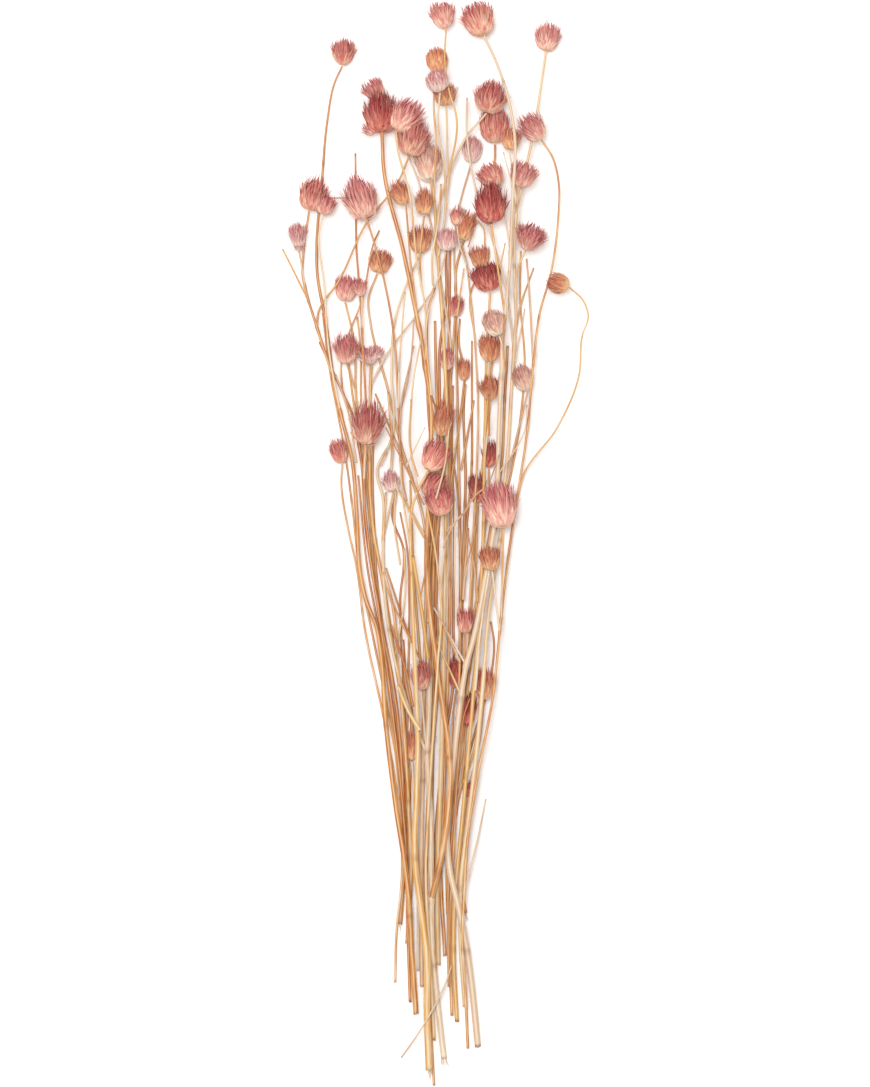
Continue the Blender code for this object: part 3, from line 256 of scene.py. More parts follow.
# Flower stems in the order they are laid. Each starts with the way from its top to its cut end, and
# its side stems follow, each down to the route that it joins. Widths are at the top and at the foot.
STEMS = {
    "62": [
        Route("62", (2.2, 4.5), [(466, 729), (465, 752), (460, 790), (453, 830), (448, 860), (447, 890),
            (448, 916)]),
        Route("60", (2, 2.6), [(456, 690), (453, 715), (454, 745), (456, 780), (455, 815)]),
        Route("55", (2, 2.8), [(477, 504), (476, 560), (477, 620), (479, 680), (478, 730), (470, 765),
            (460, 792)]),
        Route("54", (2, 2.2), [(489, 469), (488, 500), (483, 550), (478, 605), (478, 650)], 2),
    ],
    "61": [
        Route("61", (2.4, 3.2), [(484, 701), (482, 724), (478, 750), (470, 785), (464, 815), (461, 845),
            (461, 880), (466, 914)]),
        Route("64", (1.8, 2.2), [(469, 797), (467, 820), (462, 846)]),
    ],
    "14": [
        Route("14", (2.4, 3.6), [(495, 144), (495, 157), (488, 177), (481, 200), (473, 222), (464, 242),
            (457, 262), (455, 290), (456, 330), (457, 380), (458, 430), (459, 480), (460, 530), (460, 580),
            (460, 640), (459, 700), (457, 760), (455, 820), (453, 860), (450, 900), (450, 960),
            (452, 1017)]),
        Route("17", (2, 2.2), [(471, 163), (464, 187), (458, 212), (455, 240), (454, 262), (455, 288)]),
        Route("29", (2, 2.6), [(461, 241), (467, 265), (470, 295), (475, 338), (478, 380), (477, 460),
            (474, 520), (471, 580), (467, 650), (462, 720), (458, 756)]),
        Route("30", (1.6, 1.8), [(457, 226), (459, 243), (466, 262)], 2),
        Route("32", (2, 2.2), [(482, 268), (473, 284), (471, 300), (475, 340)], 2),
        Route(None, (2, 2.4), [(428, 385), (438, 412), (446, 440), (454, 467), (458, 495), (460, 535)]),
    ],
    "37": [
        Route("37", (2.2, 4.2), [(455, 317), (452, 345), (450, 400), (450, 460), (450, 520), (450, 580),
            (449, 640), (447, 700), (445, 760), (443, 820), (441, 860), (441, 900), (445, 957)]),
        Route("08", (2, 2.4), [(381, 100), (388, 113), (397, 130), (404, 148), (409, 160), (417, 177),
            (424, 198), (430, 225), (437, 262), (445, 305), (451, 355)]),
        Route("43", (1.8, 2.2), [(447, 371), (448, 400), (450, 435)]),
        Route("44", (1.8, 2.2), [(464, 381), (461, 410), (456, 450), (450, 490)]),
    ],
    "63": [
        Route("63", (2.4, 3.4), [(412, 762), (413, 790), (416, 830), (418, 870), (418, 920), (418, 972)]),
    ],
    "33": [
        Route("33", (2.2, 5), [(377, 273), (371, 287), (368, 300), (369, 315), (372, 330), (378, 350),
            (384, 375), (390, 397), (397, 425), (404, 455), (412, 480), (420, 505), (425, 530), (426, 570),
            (425, 620), (424, 700), (423, 760), (422, 820), (421, 870), (421, 930), (422, 988)]),
        Route(None, (2.2, 2.6), [(375, 393), (387, 420), (397, 447), (409, 476)]),
        Route(None, (2, 2.4), [(386, 568), (392, 585), (399, 607), (404, 622), (410, 637), (417, 652),
            (424.5, 670)]),
    ],
    "12": [
        Route("12", (3, 6), [(431, 181), (435, 210), (438, 260), (441, 300), (444, 345), (446, 390),
            (447, 440), (446, 500), (445, 560), (444, 620), (443, 680), (442, 740), (440, 800), (438, 850),
            (437, 900), (438, 966)]),
        Route("05", (2, 2.4), [(439, 72), (434, 97), (436, 140), (434, 165), (434, 198)]),
        Route("07", (2, 2.4), [(446.5, 107), (447, 125), (448, 148), (448, 180), (445, 215), (438, 258)]),
        Route("02", (2, 2.2), [(446, 30), (444, 52), (446, 72), (449, 92), (454, 104), (456, 116),
            (455, 130), (451, 153), (448, 180)], 2),
        Route("06", (2, 2.2), [(440, 94), (438, 108), (438, 122), (441, 148), (445, 175), (446, 205)], 2),
        Route("13", (2.4, 2.8), [(486.5, 114), (478, 123), (466, 138), (456, 157), (447, 182), (440, 202),
            (436, 228)]),
    ],
    "58": [
        Route("58", (2.2, 3), [(465, 634), (464, 665), (462, 700), (460, 740), (457, 780), (453, 830),
            (449, 870), (448, 920), (449, 987)]),
    ],
    "47": [
        Route("47", (2.4, 3), [(441, 437), (443, 455), (442, 480), (436, 508), (431, 545), (430, 600),
            (430, 660), (429, 720), (428, 780), (426, 840), (425, 890), (427, 960), (431, 1030),
            (434, 1087)]),
        Route(None, (2, 2.2), [(399, 490), (406, 503), (414, 517), (422, 531), (431, 547)]),
    ],
    "42": [
        Route("42", (3.4, 4.6), [(371, 364), (371, 400), (369, 440), (371, 480), (371, 500), (373, 530),
            (378, 560), (384, 590), (390, 630), (396, 665), (401, 700), (405, 745), (408, 800), (410, 840),
            (411, 870), (409, 905), (407, 944)]),
        Route("28", (2, 2.4), [(446, 252), (438, 280), (424, 303), (414, 318), (402, 332), (392, 349),
            (382, 362), (371, 387)]),
        Route(None, (2, 2.4), [(404, 548), (406, 575), (404, 600), (402, 618), (398, 638), (396, 658)]),
    ],
    "35": [
        Route(None, (2.4, 5), [(319, 341), (325, 353), (335, 376), (345, 398), (354, 420), (360, 450),
            (362, 480), (364, 515), (369, 545), (373, 575), (380, 615), (387, 650), (392, 680), (398, 720),
            (402, 770), (403, 800), (403, 830), (404, 860), (403, 890), (400, 925)]),
        Route("35", (2.2, 2.4), [(345, 302), (348, 318), (354, 342), (355, 380), (357, 410), (360, 445)]),
        Route(None, (1.8, 2), [(379, 230), (374, 242), (369, 265), (366, 285), (358, 312), (347, 338),
            (341, 362), (342, 392)]),
        Route("41", (2, 2.2), [(347, 364), (351, 372), (355, 388)], 1),
    ],
    "48": [
        Route(None, (2, 3.4), [(355, 152), (355, 190), (356, 240), (358, 270), (361, 310), (363, 345),
            (364, 380), (366, 420), (364, 460), (364, 490), (367, 530), (371, 560), (377, 600), (384, 650),
            (391, 700), (397, 750), (402, 800), (406, 850), (407, 890), (408, 940), (410, 1003)]),
        Route("36", (1.8, 2), [(362, 297), (361, 307), (361, 330)]),
        Route("48", (2.4, 2.6), [(366, 445), (365, 458), (364, 480)]),
        Route(None, (1.6, 1.8), [(326, 196.5), (340, 196.5), (355, 197)]),
    ],
    "34": [
        Route("34", (2.6, 4.8), [(490, 292), (488, 330), (486, 370), (485, 420), (484, 480), (483, 540),
            (480, 600), (476, 660), (471, 720), (466, 780), (461, 830), (457, 870), (454, 920), (454, 970),
            (457, 1023)]),
        Route("40", (2, 2.2), [(490, 363), (490, 385), (487, 412), (485, 440)]),
        Route("46", (2, 2.4), [(491, 401), (490, 420), (484, 460)]),
    ],
    "04": [
        Route("04", (2.6, 5), [(546, 51), (540, 95), (534, 130), (528, 160), (524, 178), (519, 198),
            (516, 212), (514, 250), (515, 300), (516, 320), (513, 360), (511, 400), (508, 450), (505, 482),
            (501, 530), (495, 570), (490, 600), (487, 630), (484, 670), (480, 715), (475, 765), (469, 815),
            (463, 860), (460, 900), (461, 950), (465, 1008)]),
        Route("15", (1.8, 2), [(509, 151), (512, 172), (517, 202)]),
        Route("19", (2, 2.2), [(518, 189), (517, 203), (515, 228)]),
        Route(None, (2, 2.2), [(534, 267), (529, 280), (520, 308), (515, 340)]),
        Route(None, (1.6, 1.8), [(503, 155), (507, 169), (512, 190), (516, 216)]),
        Route("31", (2.2, 2.4), [(525, 252), (518, 268), (514, 295)]),
        Route(None, (2.2, 2.4), [(467, 98), (467, 137), (470, 157), (474, 182), (479, 198), (485, 216),
            (493, 245), (502, 272), (508, 300), (513, 350)]),
        Route("45", (2.2, 2.4), [(528, 391), (526, 403), (522, 418), (519, 433), (513, 455), (505, 485)]),
    ],
    "49": [
        Route("49", (2.2, 2.8), [(342, 464), (341, 480), (345, 512), (350, 540), (356, 565), (360, 590),
            (363, 620), (369, 650), (376, 680), (384, 720), (391, 760), (398, 800), (401, 835), (402, 870),
            (399, 905), (396, 940), (395, 984)]),
    ],
    "01": [
        Route("01", (2, 6), [(342, 65.5), (335, 80), (331, 98), (327, 120), (325, 140), (324, 155),
            (322, 175), (320, 205), (318, 225), (316, 255), (318, 280), (323, 303), (328, 340), (331, 370),
            (336, 397), (341, 415), (346, 438), (352, 460), (355, 490), (357, 520), (358, 550), (361, 578),
            (366, 600), (374, 618), (379, 640), (382, 665), (385, 695), (385, 715), (389, 750), (395, 800),
            (403, 850), (408, 890), (411, 940), (416, 1015)]),
        Route("20", (2.4, 2.8), [(309, 211), (305, 240), (302, 268), (304, 283), (308, 300), (317, 325),
            (325, 350), (332, 376)]),
        Route("26", (2, 2), [(299, 250), (300, 262), (304, 286)], 1),
        Route(None, (1.8, 2), [(282, 248), (290, 263), (297, 276), (308, 300)], 1),
        Route("21", (2, 2.2), [(323, 215), (319, 235), (322, 260), (325, 295), (328, 335), (330, 362),
            (337, 385), (342, 412)]),
        Route("11", (2.2, 2.4), [(409, 157), (405, 170), (393, 189), (379, 207), (366, 224), (357, 240),
            (345, 267), (336, 285), (325, 299), (318, 312), (317, 328)], 1),
    ],
    "03": [
        Route("03", (2.6, 7), [(484, 37), (496, 63), (501, 88), (507, 112), (513, 135), (515, 150),
            (513, 185), (511, 225), (510, 260), (507, 290), (504, 320), (502, 350), (501, 390), (499, 420),
            (498, 450), (497, 495), (491, 535), (488, 560), (484, 585), (478, 610), (473, 640), (466, 665),
            (461, 695), (457, 725), (453, 765), (450, 800), (447, 835), (449, 865), (457, 900), (465, 940),
            (471, 980), (476, 1025), (478, 1048)]),
        Route("18", (2, 2.2), [(497, 188), (502, 205), (506, 225), (510, 254)]),
        Route("25", (2.4, 2.6), [(491, 225), (495, 255), (501, 285), (504, 316)]),
        Route("39", (2.2, 2.4), [(499, 337), (503, 350), (501, 378)]),
        Route(None, (1.4, 1.8), [(527, 405), (526, 425), (514, 448), (498, 476)]),
        Route(None, (2, 2.4), [(433, 606), (441, 622), (449, 638), (457, 652), (465, 668)]),
        Route(None, (2, 2.6), [(428, 622), (436, 640), (443, 657), (451, 674), (460.5, 696)]),
    ],
    "16": [
        Route("16", (2.2, 3.2), [(541, 141), (553, 160), (559, 190), (557, 230), (551, 272), (541, 305),
            (537, 335), (533, 365), (530, 405), (526, 440), (521, 470), (517, 500), (512, 530), (508, 560),
            (505, 590), (500, 625), (497, 660), (493, 695), (487, 730), (481, 757), (476, 785), (471, 815),
            (467, 845), (464, 880), (462, 920), (463, 960), (466, 1000), (468, 1050)]),
        Route("38", (1.8, 2.2), [(569, 288), (583, 301), (588, 316), (582, 336), (581, 357), (579, 375),
            (571, 397), (563, 417), (552, 436), (540, 452), (524, 474), (515, 508)]),
        Route(None, (2, 2.2), [(527, 258), (529, 290), (532, 330), (533, 368)]),
        Route("57", (2.2, 2.4), [(492, 571), (493, 588), (498, 606), (500, 632)]),
        Route("56", (2.4, 2.6), [(503, 529), (503, 560), (501, 618)]),
        Route(None, (1.6, 2), [(486, 800), (483, 815), (474, 855), (464, 888)]),
    ],
    "09": [
        Route(None, (6, 6.6), [(430, 673), (429, 700), (427, 745), (428, 775), (431, 830), (431, 889),
            (431, 920), (433, 960), (437, 1000), (441, 1040), (444, 1060)]),
        Route("09", (4, 6.4), [(382, 133), (382, 158), (389, 195), (396, 225), (403, 250), (409, 285),
            (415, 312), (421, 337), (426, 365), (430, 400), (430, 460), (427, 540), (427, 580), (431, 610),
            (436, 650), (440, 690), (446, 735), (450, 765), (449, 795), (445, 830), (441, 860),
            (432, 900)]),
        Route("27", (2.4, 3.6), [(420, 254), (415, 264), (406, 285), (399, 305), (394, 325), (393, 345),
            (391, 385), (391, 440), (387, 452), (380, 463), (377, 470), (382, 490), (384, 520), (383, 560),
            (387, 590), (391, 640), (398, 675), (409, 708), (428, 755)]),
        Route("23", (2, 2.2), [(406, 206), (409, 230), (411, 265), (414, 295), (418, 325)], 1),
        Route("10", (2.2, 2.4), [(396, 132), (398, 150), (404, 172), (409, 192), (413, 220), (415, 245),
            (419, 275), (424, 300), (425, 330), (426, 368)], 1),
        Route("24", (2, 2.2), [(424, 216), (423, 240), (420, 262), (421, 286)], 4),
        Route("51", (2, 2.2), [(393, 492), (390, 505), (387, 518), (384, 540)], 2),
        Route("59", (2.2, 2.4), [(421, 691), (422, 715), (425, 737), (427, 758)]),
        Route(None, (3, 3), [(435, 736), (428, 753)]),
    ],
    "53": [
        Route("52", (2, 3.4), [(425, 497), (427, 515), (435, 550), (441, 600), (438, 660), (434, 720),
            (430, 780), (427, 840), (426, 890), (430, 960), (434, 1041)]),
        Route("53", (2.2, 2.4), [(443, 516), (444, 540), (441, 592)]),
        Route(None, (1.8, 2), [(486, 487), (476, 495), (463, 514), (444, 533)], 1),
    ],
    "50": [
        Route("50", (2.6, 8), [(428, 472), (424, 481), (418, 490), (413, 505), (411, 530), (411, 560),
            (413, 620), (416, 690), (418, 740), (417, 780), (416, 820), (415, 860), (418, 890), (423, 920),
            (427, 960), (427, 1010), (429, 1071)]),
        Route(None, (1.8, 2.2), [(421, 340), (417, 366), (414, 378), (412, 395), (411, 420), (411, 450),
            (413, 467), (416, 492)]),
        Route(None, (1.8, 2.2), [(405, 292), (402, 320), (400, 360), (398, 400), (401, 455), (401, 475),
            (403, 490), (407, 520), (411, 552)]),
        Route("22", (2.2, 2.6), [(367, 220), (371, 230), (375, 243), (381, 270), (387, 302), (393, 332),
            (396, 355), (397, 385), (400, 425), (401, 462)], 2),
        Route(None, (1.8, 2), [(414, 320), (412, 345), (410, 368), (406, 390), (399, 418)], 2),
    ],
    "twig": [
        Route(None, (1.8, 1.8), [(452, 965), (447, 980), (433, 1005), (418, 1034), (407, 1051),
            (401, 1059)]),
    ],
}

# The bunch's left and right edge at some heights of the photograph.
EDGES = (
    (150, 330, 545), (250, 318, 553), (340, 331, 535), (450, 350, 524), (560, 359, 508), (700, 383, 492),
    (820, 399, 471), (1000, 408, 466),
)
# Plants inside the bunch, too many stems to trace. They lie at the back, and below the points that show
# between the front stems they run down as the edges do. First each one's main stem, with its points
# and its cut end, then its side stems with the heights where they join it, each with its widths.
INSIDE = {
    "left": [
        ([(347, 352)], (410, 935), (2.2, 4.6)),
        ([(322, 312), (326, 340), (330, 375), (338, 412), (345, 455), (353, 515)], 850, (1.8, 3)),
        ([(358, 475), (361, 510), (364, 545), (369, 580), (375, 612)], 880, (2, 3)),
        ([(357, 316), (360, 345), (361, 405)], 800, (2, 2.8)),
        ([(373, 436), (372, 470), (373, 500)], 830, (3, 3.6)),
        ([(396, 492), (392, 515), (399, 535), (403, 548), (402, 575), (400, 592)], 860, (2.4, 3)),
        ([(400, 512), (406, 540), (408, 570)], 900, (2, 3)),
        ([(402, 640), (405, 665), (406, 685), (410, 705)], 890, (5, 4)),
    ],
    "middle": [
        ([(435, 320), (435, 345), (436, 375), (438, 405)], (431, 975), (3, 5)),
        ([(450, 246), (449, 275), (448, 300), (449, 330)], 870, (3, 4)),
        ([(446, 250), (445, 275), (446, 300), (440, 345), (440, 400)], 740, (3, 3.4)),
        ([(435, 286), (429, 305), (427, 330), (427, 355)], 620, (2, 2.4)),
        ([(453, 385), (452, 450), (454, 500), (454, 540), (453, 640), (452, 700)], 900, (2.4, 3.6)),
        ([(439, 525), (438, 565), (437, 600), (439, 640)], 780, (2, 3)),
        ([(447, 366)], 840, (2.2, 3.6)),
        ([(410, 480)], 860, (2.2, 4)),
    ],
    "right": [
        ([(460, 318), (459, 345), (463, 362)], (452, 950), (2.2, 5)),
        ([(472, 340), (472, 380), (472, 440)], 840, (2.2, 3.6)),
        ([(493, 354)], 870, (2.2, 4)),
        ([(508, 345), (507, 375), (504, 410), (503, 440), (502, 462)], 800, (3, 4)),
        ([(521, 250), (520, 275), (521, 310), (524, 340), (525, 365), (523, 400), (512, 470)], 720, (2, 3)),
        ([(500, 512)], 820, (2.2, 3.4)),
        ([(491, 622), (494, 640), (492, 672)], 860, (2.2, 3)),
    ],
}
# Pixels between the points of such a stem, and its waves: their share of the width and their length.
INSIDE_STEP = 45
WAVE = (0.015, 70)

# Heads that have grown into each other share a node, and so do stems that are stuck together.
HEADS_TOGETHER = (("09", "10", "11"), ("20", "21"), ("29", "30"), ("52", "53"))
STEMS_TOGETHER = (
    ("61", "62", "14", "58", "right"), ("37", "12", "middle"), ("63", "33", "47", "left"),
    ("42", "48", "35"), ("34", "04"), ("49", "01"), ("53", "50", "twig"), ("03", "16"),
)
# Small heads at the back, part of their stem's node.
HEADS_ON_STEMS = ("36", "43", "44", "54", "55", "60", "62", "63", "64")

# Thin shoots that cross the bunch in front, too many for the solids: how thick each is in pixels of the
# photograph, how weathered, and its points. They are laid last, over all else, in the piece of one plant,
# and each is this much thinner at its tip.
SHOOTS_WITH = "50"
SHOOT_TIP = 0.8
SHOOTS = (
    (2.6, 0.5, [(441, 184), (440, 205), (437, 230), (433, 250), (432, 268), (433, 286)]),
    (2.6, 0.3, [(434, 288), (430, 303), (427, 320), (427, 345), (429, 368), (431, 396)]),
    (1.6, 0.9, [(475, 219), (483, 227), (485, 246)]),
    (1.6, 0.8, [(474, 229), (471, 238), (468, 247)]),
    (2.0, 0.4, [(464, 268), (463, 284), (460, 302), (457, 316)]),
    (1.5, 0.6, [(460, 322), (459, 345), (462, 358)]),
    (1.8, 0.7, [(505, 244), (502, 256), (500, 268)]),
    (1.6, 0.3, [(508, 272), (508, 290), (507, 312)]),
    (2.0, 0.6, [(504, 316), (503, 345), (505, 372)]),
    (1.6, 0.4, [(525, 308), (521, 335), (515, 362)]),
    (2.2, 0.3, [(399, 370), (399, 392), (398, 408)]),
    (2.0, 0.6, [(414, 346), (409, 364), (405, 388), (401, 408), (400, 424)]),
    (3.0, 0.7, [(388, 392), (388, 410), (390, 432), (392, 450), (391, 470)]),
    (2.0, 0.8, [(387, 452), (381, 466)]),
    (2.4, 0.5, [(336, 375), (345, 400), (350, 420), (353, 440), (357, 463)]),
    (3.0, 0.4, [(386, 492), (385, 514), (383, 540)]),
    (2.4, 0.6, [(396, 490), (396, 504), (394, 516), (396, 530), (399, 545), (400, 565)]),
    (1.8, 0.8, [(402, 463), (403, 482), (407, 501)]),
    (1.8, 0.1, [(425, 428), (418, 440), (412, 455), (406, 468)]),
    (4.6, 0.5, [(413, 556), (417, 582), (421, 606), (425, 630), (428, 658)]),
    (3.6, 0.7, [(384, 572), (388, 590), (393, 608), (395, 622), (397, 645)]),
    (2.0, 0.4, [(455, 500), (455, 540), (455, 585), (456, 620)]),
    (2.8, 0.4, [(468, 528), (466, 550), (465, 572), (463, 600)]),
    (2.0, 0.9, [(478, 506), (477, 530), (476, 566)]),
    (3.2, 0.5, [(489, 570), (485, 594), (481, 626), (478, 660), (475, 690)]),
    (2.0, 0.7, [(397, 645), (399, 675), (404, 700)]),
    (2.4, 0.6, [(489, 395), (490, 412), (489, 436)]),
    (2.0, 0.1, [(449, 428), (447, 452), (442, 478), (436, 499)]),
    (2.0, 0.8, [(386, 428), (396, 447), (406, 468), (415, 487), (424, 505)]),
    (2.0, 0.8, [(393, 482), (402, 500), (411, 514), (424, 538)]),
    (1.8, 1.0, [(411, 400), (410, 440), (412, 458), (418, 477)]),
    (2.0, 0.9, [(466, 384), (460, 420), (455, 450)]),
    (2.6, 0.9, [(474, 400), (467, 436), (461, 470)]),
    (1.8, 0.3, [(499, 455), (491, 478), (486, 493)]),
    (2.0, 0.9, [(425, 535), (427, 555), (423, 575), (421, 596)]),
    (2.0, 0.2, [(462, 514), (451, 529), (443, 548)]),
    (2.0, 0.7, [(466, 525), (470, 550), (475, 572), (478, 602)]),
    (2.0, 0.3, [(476, 524), (471, 550), (464, 580)]),
    (2.4, 0.9, [(386, 588), (396, 610), (404, 625), (411, 642)]),
    (3.0, 0.8, [(391, 625), (399, 650), (407, 675), (413, 706)]),
    (4.0, 0.6, [(398, 685), (407, 708), (420, 730)]),
    (2.0, 0.1, [(437, 610), (446, 630), (456, 652), (460, 662)]),
    (2.2, 0.8, [(470, 698), (464, 715), (461, 742)]),
)

# How weathered each flower stem is, from 0, pale straw, to 1, orange-brown, with painted shade in it: a stem
# that lies lower is browner. The others are paler, the later they are laid, as painted shade that lessens
# from the first one laid to the last: the first one's number, and how much less the last one's is.
WEATHER_SHADE_LEVELS = {"49": 0.7, "01": 0.6, "35": 0.55, "48": 0.75, "16": 0.3, "34": 0.5, "53": 0.45}
FIRST_WEATHER_SHADE = 0.6
PALER_BY = 0.5
# Plants inside the bunch lie at the back: their brown is weathering and painted shade.
INSIDE_WEATHER_SHADE = 0.95
# Stems whose weathering differs from their plant's, by their head.
STEM_WEATHERED = {"38": 1.0, "09": 0.55, "50": 0.05, "03": 0.12, "04": 0.35, "22": 0.6, "11": 0.7}
# How far a stem departs from its plant, how much browner its thin top is, and the limits.
WEATHER_SPREAD = (-0.6, 0.5)
TOP_BROWNER = 0.2
WEATHER_LIMITS = (-0.4, 1.3)
# Plants whose cut ends are dark, and those with an end split into fibres, with how many.
DARK_ENDS = ("48", "34", "03", "53")
FRAYED_ENDS = {"09": 9, "50": 7, "61": 4, "35": 3}

# The light of the stage gives a surface this much more than its colour, so colours are picked darker.
OVEREXPOSED = 1.32

# A head's form: how its underside narrows (0 is round), how its crown narrows (below 0 is flat), at
# what height it is widest (from -1 to 1), how much its bracts lean out and how far they stand free.
Form = namedtuple("Form", "wedge point high lean free")
FORMS = {
    "globe": Form(0.15, 0.0, 0.0, 0.62, 0.4),
    "cup": Form(0.1, -0.4, 0.2, 0.52, 0.36),
    "fan": Form(0.7, -0.35, 0.3, 0.7, 0.4),
    "acorn": Form(0.05, 0.55, -0.15, 0.68, 0.42),
    "cone": Form(0.8, 0.1, 0.1, 0.68, 0.42),
    "smooth": Form(0.35, 0.05, 0.0, 0.36, 0.18),
    "burst": Form(0.2, 0.1, 0.0, 0.86, 0.52),
}
FORM_OF = {
    "cup": "12 15 18 19 21 27 29 32 34 35 37 40 44 50 53 55 57 58 60 61 62",
    "fan": "08 26 31 36 42",
    "acorn": "09 11 13 20 22 24 25 51",
    "cone": "01 02 46 54",
    "smooth": "05 06 14 17 28 38 39 43 45",
    "burst": "10 48",
}
# Heads with leafy bracts spread under them, and how many.
LEAFY_BRACTS = {"12": 9, "22": 7, "09": 7, "18": 3, "25": 4, "26": 4, "48": 5, "42": 4}
# Small tufts beside a head: the head, their middle and width on the photograph, and their tone.
TUFTS = (
    ("26", (299, 247), 9, "lilac"), ("41", (357, 349), 10, "rose"), ("42", (378, 353), 11, "lilac"),
    ("09", (370, 130), 13, "pink"),
)


def linear(code, light=OVEREXPOSED):
    """A colour in sRGB hex as linear red, green and blue, darker by how much the light adds to it."""
    shares = [int(code[i : i + 2], 16) / 255 for i in (1, 3, 5)]
    shares = [s / 12.92 if s <= 0.04045 else ((s + 0.055) / 1.055) ** 2.4 for s in shares]
    return tuple(s / light for s in shares)


# Papery colours of each tone: at the crown, round the middle and at the foot of a head.
TONES = {
    "rose": ("#AC3644", "#E48476", "#FACDAE"),
    "pink": ("#B84458", "#ED9A8C", "#FFD9C2"),
    "lilac": ("#CC6C76", "#F8C4BA", "#FFF2E4"),
    "orange": ("#B2482E", "#E4926A", "#FBCC98"),
    "wine": ("#7C121E", "#C04440", "#EC9A84"),
    "cream": ("#B86460", "#F2BCA2", "#FFF0DA"),
}


def placed(pixel):
    """A point of the photograph, in metres on the table."""
    return ((pixel[0] - PHOTO_MIDDLE[0]) * PIXEL, (PHOTO_MIDDLE[1] - pixel[1]) * PIXEL)


def inside_route(number, points, foot, widths):
    """A stem inside the bunch: below its points it keeps its place between the edges on its way down."""
    heights, lefts, rights = zip(*EDGES)

    def span(y):
        return np.interp(y, heights, lefts), np.interp(y, heights, rights)

    top = points[-1]
    start, end = ((x - span(y)[0]) / (span(y)[1] - span(y)[0]) for x, y in (top, foot))
    pieces = math.ceil((foot[1] - top[1]) / INSIDE_STEP)
    lower = []
    for y in np.linspace(top[1], foot[1], pieces + 1)[1:-1]:
        share = start + (end - start) * (y - top[1]) / (foot[1] - top[1])
        share += WAVE[0] * math.sin(y / WAVE[1] + 2 * number)
        left, right = span(y)
        lower.append((float(left + (right - left) * share), float(y)))
    return Route(None, widths, [*points, *lower, foot])


def inside_plant(rows):
    """The routes of one plant inside the bunch."""
    main = inside_route(0, *rows[0])
    ways = sorted((y, x) for x, y in main.points)
    sides = [
        inside_route(i, points, (float(np.interp(join, *zip(*ways))), join), widths)
        for i, (points, join, widths) in enumerate(rows[1:], 1)
    ]
    return [main, *sides]


class Knot:
    """One bend of a stem: its place, its half width and whether its height is settled."""

    def __init__(self, x, y, radius):
        self.x, self.y, self.z = x, y, 0.0
        self.radius = radius
        self.settled = False

    def away(self, x, y):
        return math.hypot(self.x - x, self.y - y)


def smooth_line(points):
    """The given points with others between them, on a smooth curve."""
    line = [points[0]]
    for i in range(len(points) - 1):
        before = points[max(i - 1, 0)]
        start, end = points[i], points[i + 1]
        after = points[min(i + 2, len(points) - 1)]
        pieces = math.ceil(math.dist(start, end) / FINE_STRETCH)
        for piece in range(1, pieces):
            t = piece / pieces
            line.append(tuple(
                0.5 * (
                    2 * b + (c - a) * t + (2 * a - 5 * b + 4 * c - d) * t**2 + (3 * b - a - 3 * c + d) * t**3
                )
                for a, b, c, d in zip(before, start, end, after)
            ))
        line.append(end)
    return line


def few_points(line):
    """The points of a fine line that keep its shape, none further apart than a stem may run straight."""
    start, end = np.array(line[0]), np.array(line[-1])
    run = end - start
    length = np.hypot(*run)
    inner = np.array(line[1:-1]).reshape(-1, 2) - start
    if not len(inner):
        return [line[0], line[-1]]
    off = np.abs(inner[:, 0] * run[1] - inner[:, 1] * run[0]) / length
    if off.max() < TRUE_TO_LINE and length < LONGEST_STRETCH:
        return [line[0], line[-1]]
    split = 1 + int(np.argmax(off)) if off.max() >= TRUE_TO_LINE else len(line) // 2
    return few_points(line[: split + 1])[:-1] + few_points(line[split:])


class Line:
    """A route from its foot to its top, as knots, with the head that it carries."""

    def __init__(self, route):
        self.route = route
        line = few_points(smooth_line([placed(point) for point in route.points])[::-1])
        along = np.concatenate([[0], np.cumsum([math.dist(a, b) for a, b in zip(line, line[1:])])])
        top, foot = (width * PIXEL / 2 for width in route.widths)
        self.knots = [
            Knot(x, y, foot + (top - foot) * (s / along[-1]) ** TAPER) for (x, y), s in zip(line, along)
        ]
        self.tip = None
        if route.head:
            centre = placed(HEADS[route.head].centre)
            base = self.knots[-1]
            self.tip = Knot(2 * centre[0] - base.x, 2 * centre[1] - base.y, 0)
            self.head_radius = HEADS[route.head].width * PIXEL / 2

    def nearest(self, x, y):
        """(distance, index of the stretch, share of the way along it) of the line's nearest place."""
        best = (math.inf, 0, 0.0)
        for i, (a, b) in enumerate(zip(self.knots, self.knots[1:])):
            dx, dy = b.x - a.x, b.y - a.y
            t = ((x - a.x) * dx + (y - a.y) * dy) / (dx * dx + dy * dy)
            t = min(max(t, 0.0), 1.0)
            best = min(best, (math.hypot(a.x + dx * t - x, a.y + dy * t - y), i, t))
        return best

    def add_knot(self, x, y):
        """The knot nearest to a place: a new one, unless one of the line's own is close by."""
        _, i, t = self.nearest(x, y)
        a, b = self.knots[i], self.knots[i + 1]
        place = (a.x + (b.x - a.x) * t, a.y + (b.y - a.y) * t)
        for knot in (a, b):
            if knot.away(*place) < SWELLING_LENGTH / 2:
                return knot
        knot = Knot(*place, a.radius + (b.radius - a.radius) * t)
        self.knots.insert(i + 1, knot)
        return knot


def swell(line, knot):
    """Thickens a line at a fork, with a knot of the usual width on each side."""
    i = line.knots.index(knot)
    for step in (1, -1):
        if not 0 <= i + step < len(line.knots):
            continue
        other = line.knots[i + step]
        reach = knot.away(other.x, other.y)
        if reach > 2 * SWELLING_LENGTH:
            t = SWELLING_LENGTH / reach
            beside = Knot(
                knot.x + (other.x - knot.x) * t,
                knot.y + (other.y - knot.y) * t,
                knot.radius + (other.radius - knot.radius) * t,
            )
            line.knots.insert(max(i, i + step), beside)
            i = line.knots.index(knot)
    knot.radius *= SWELLING


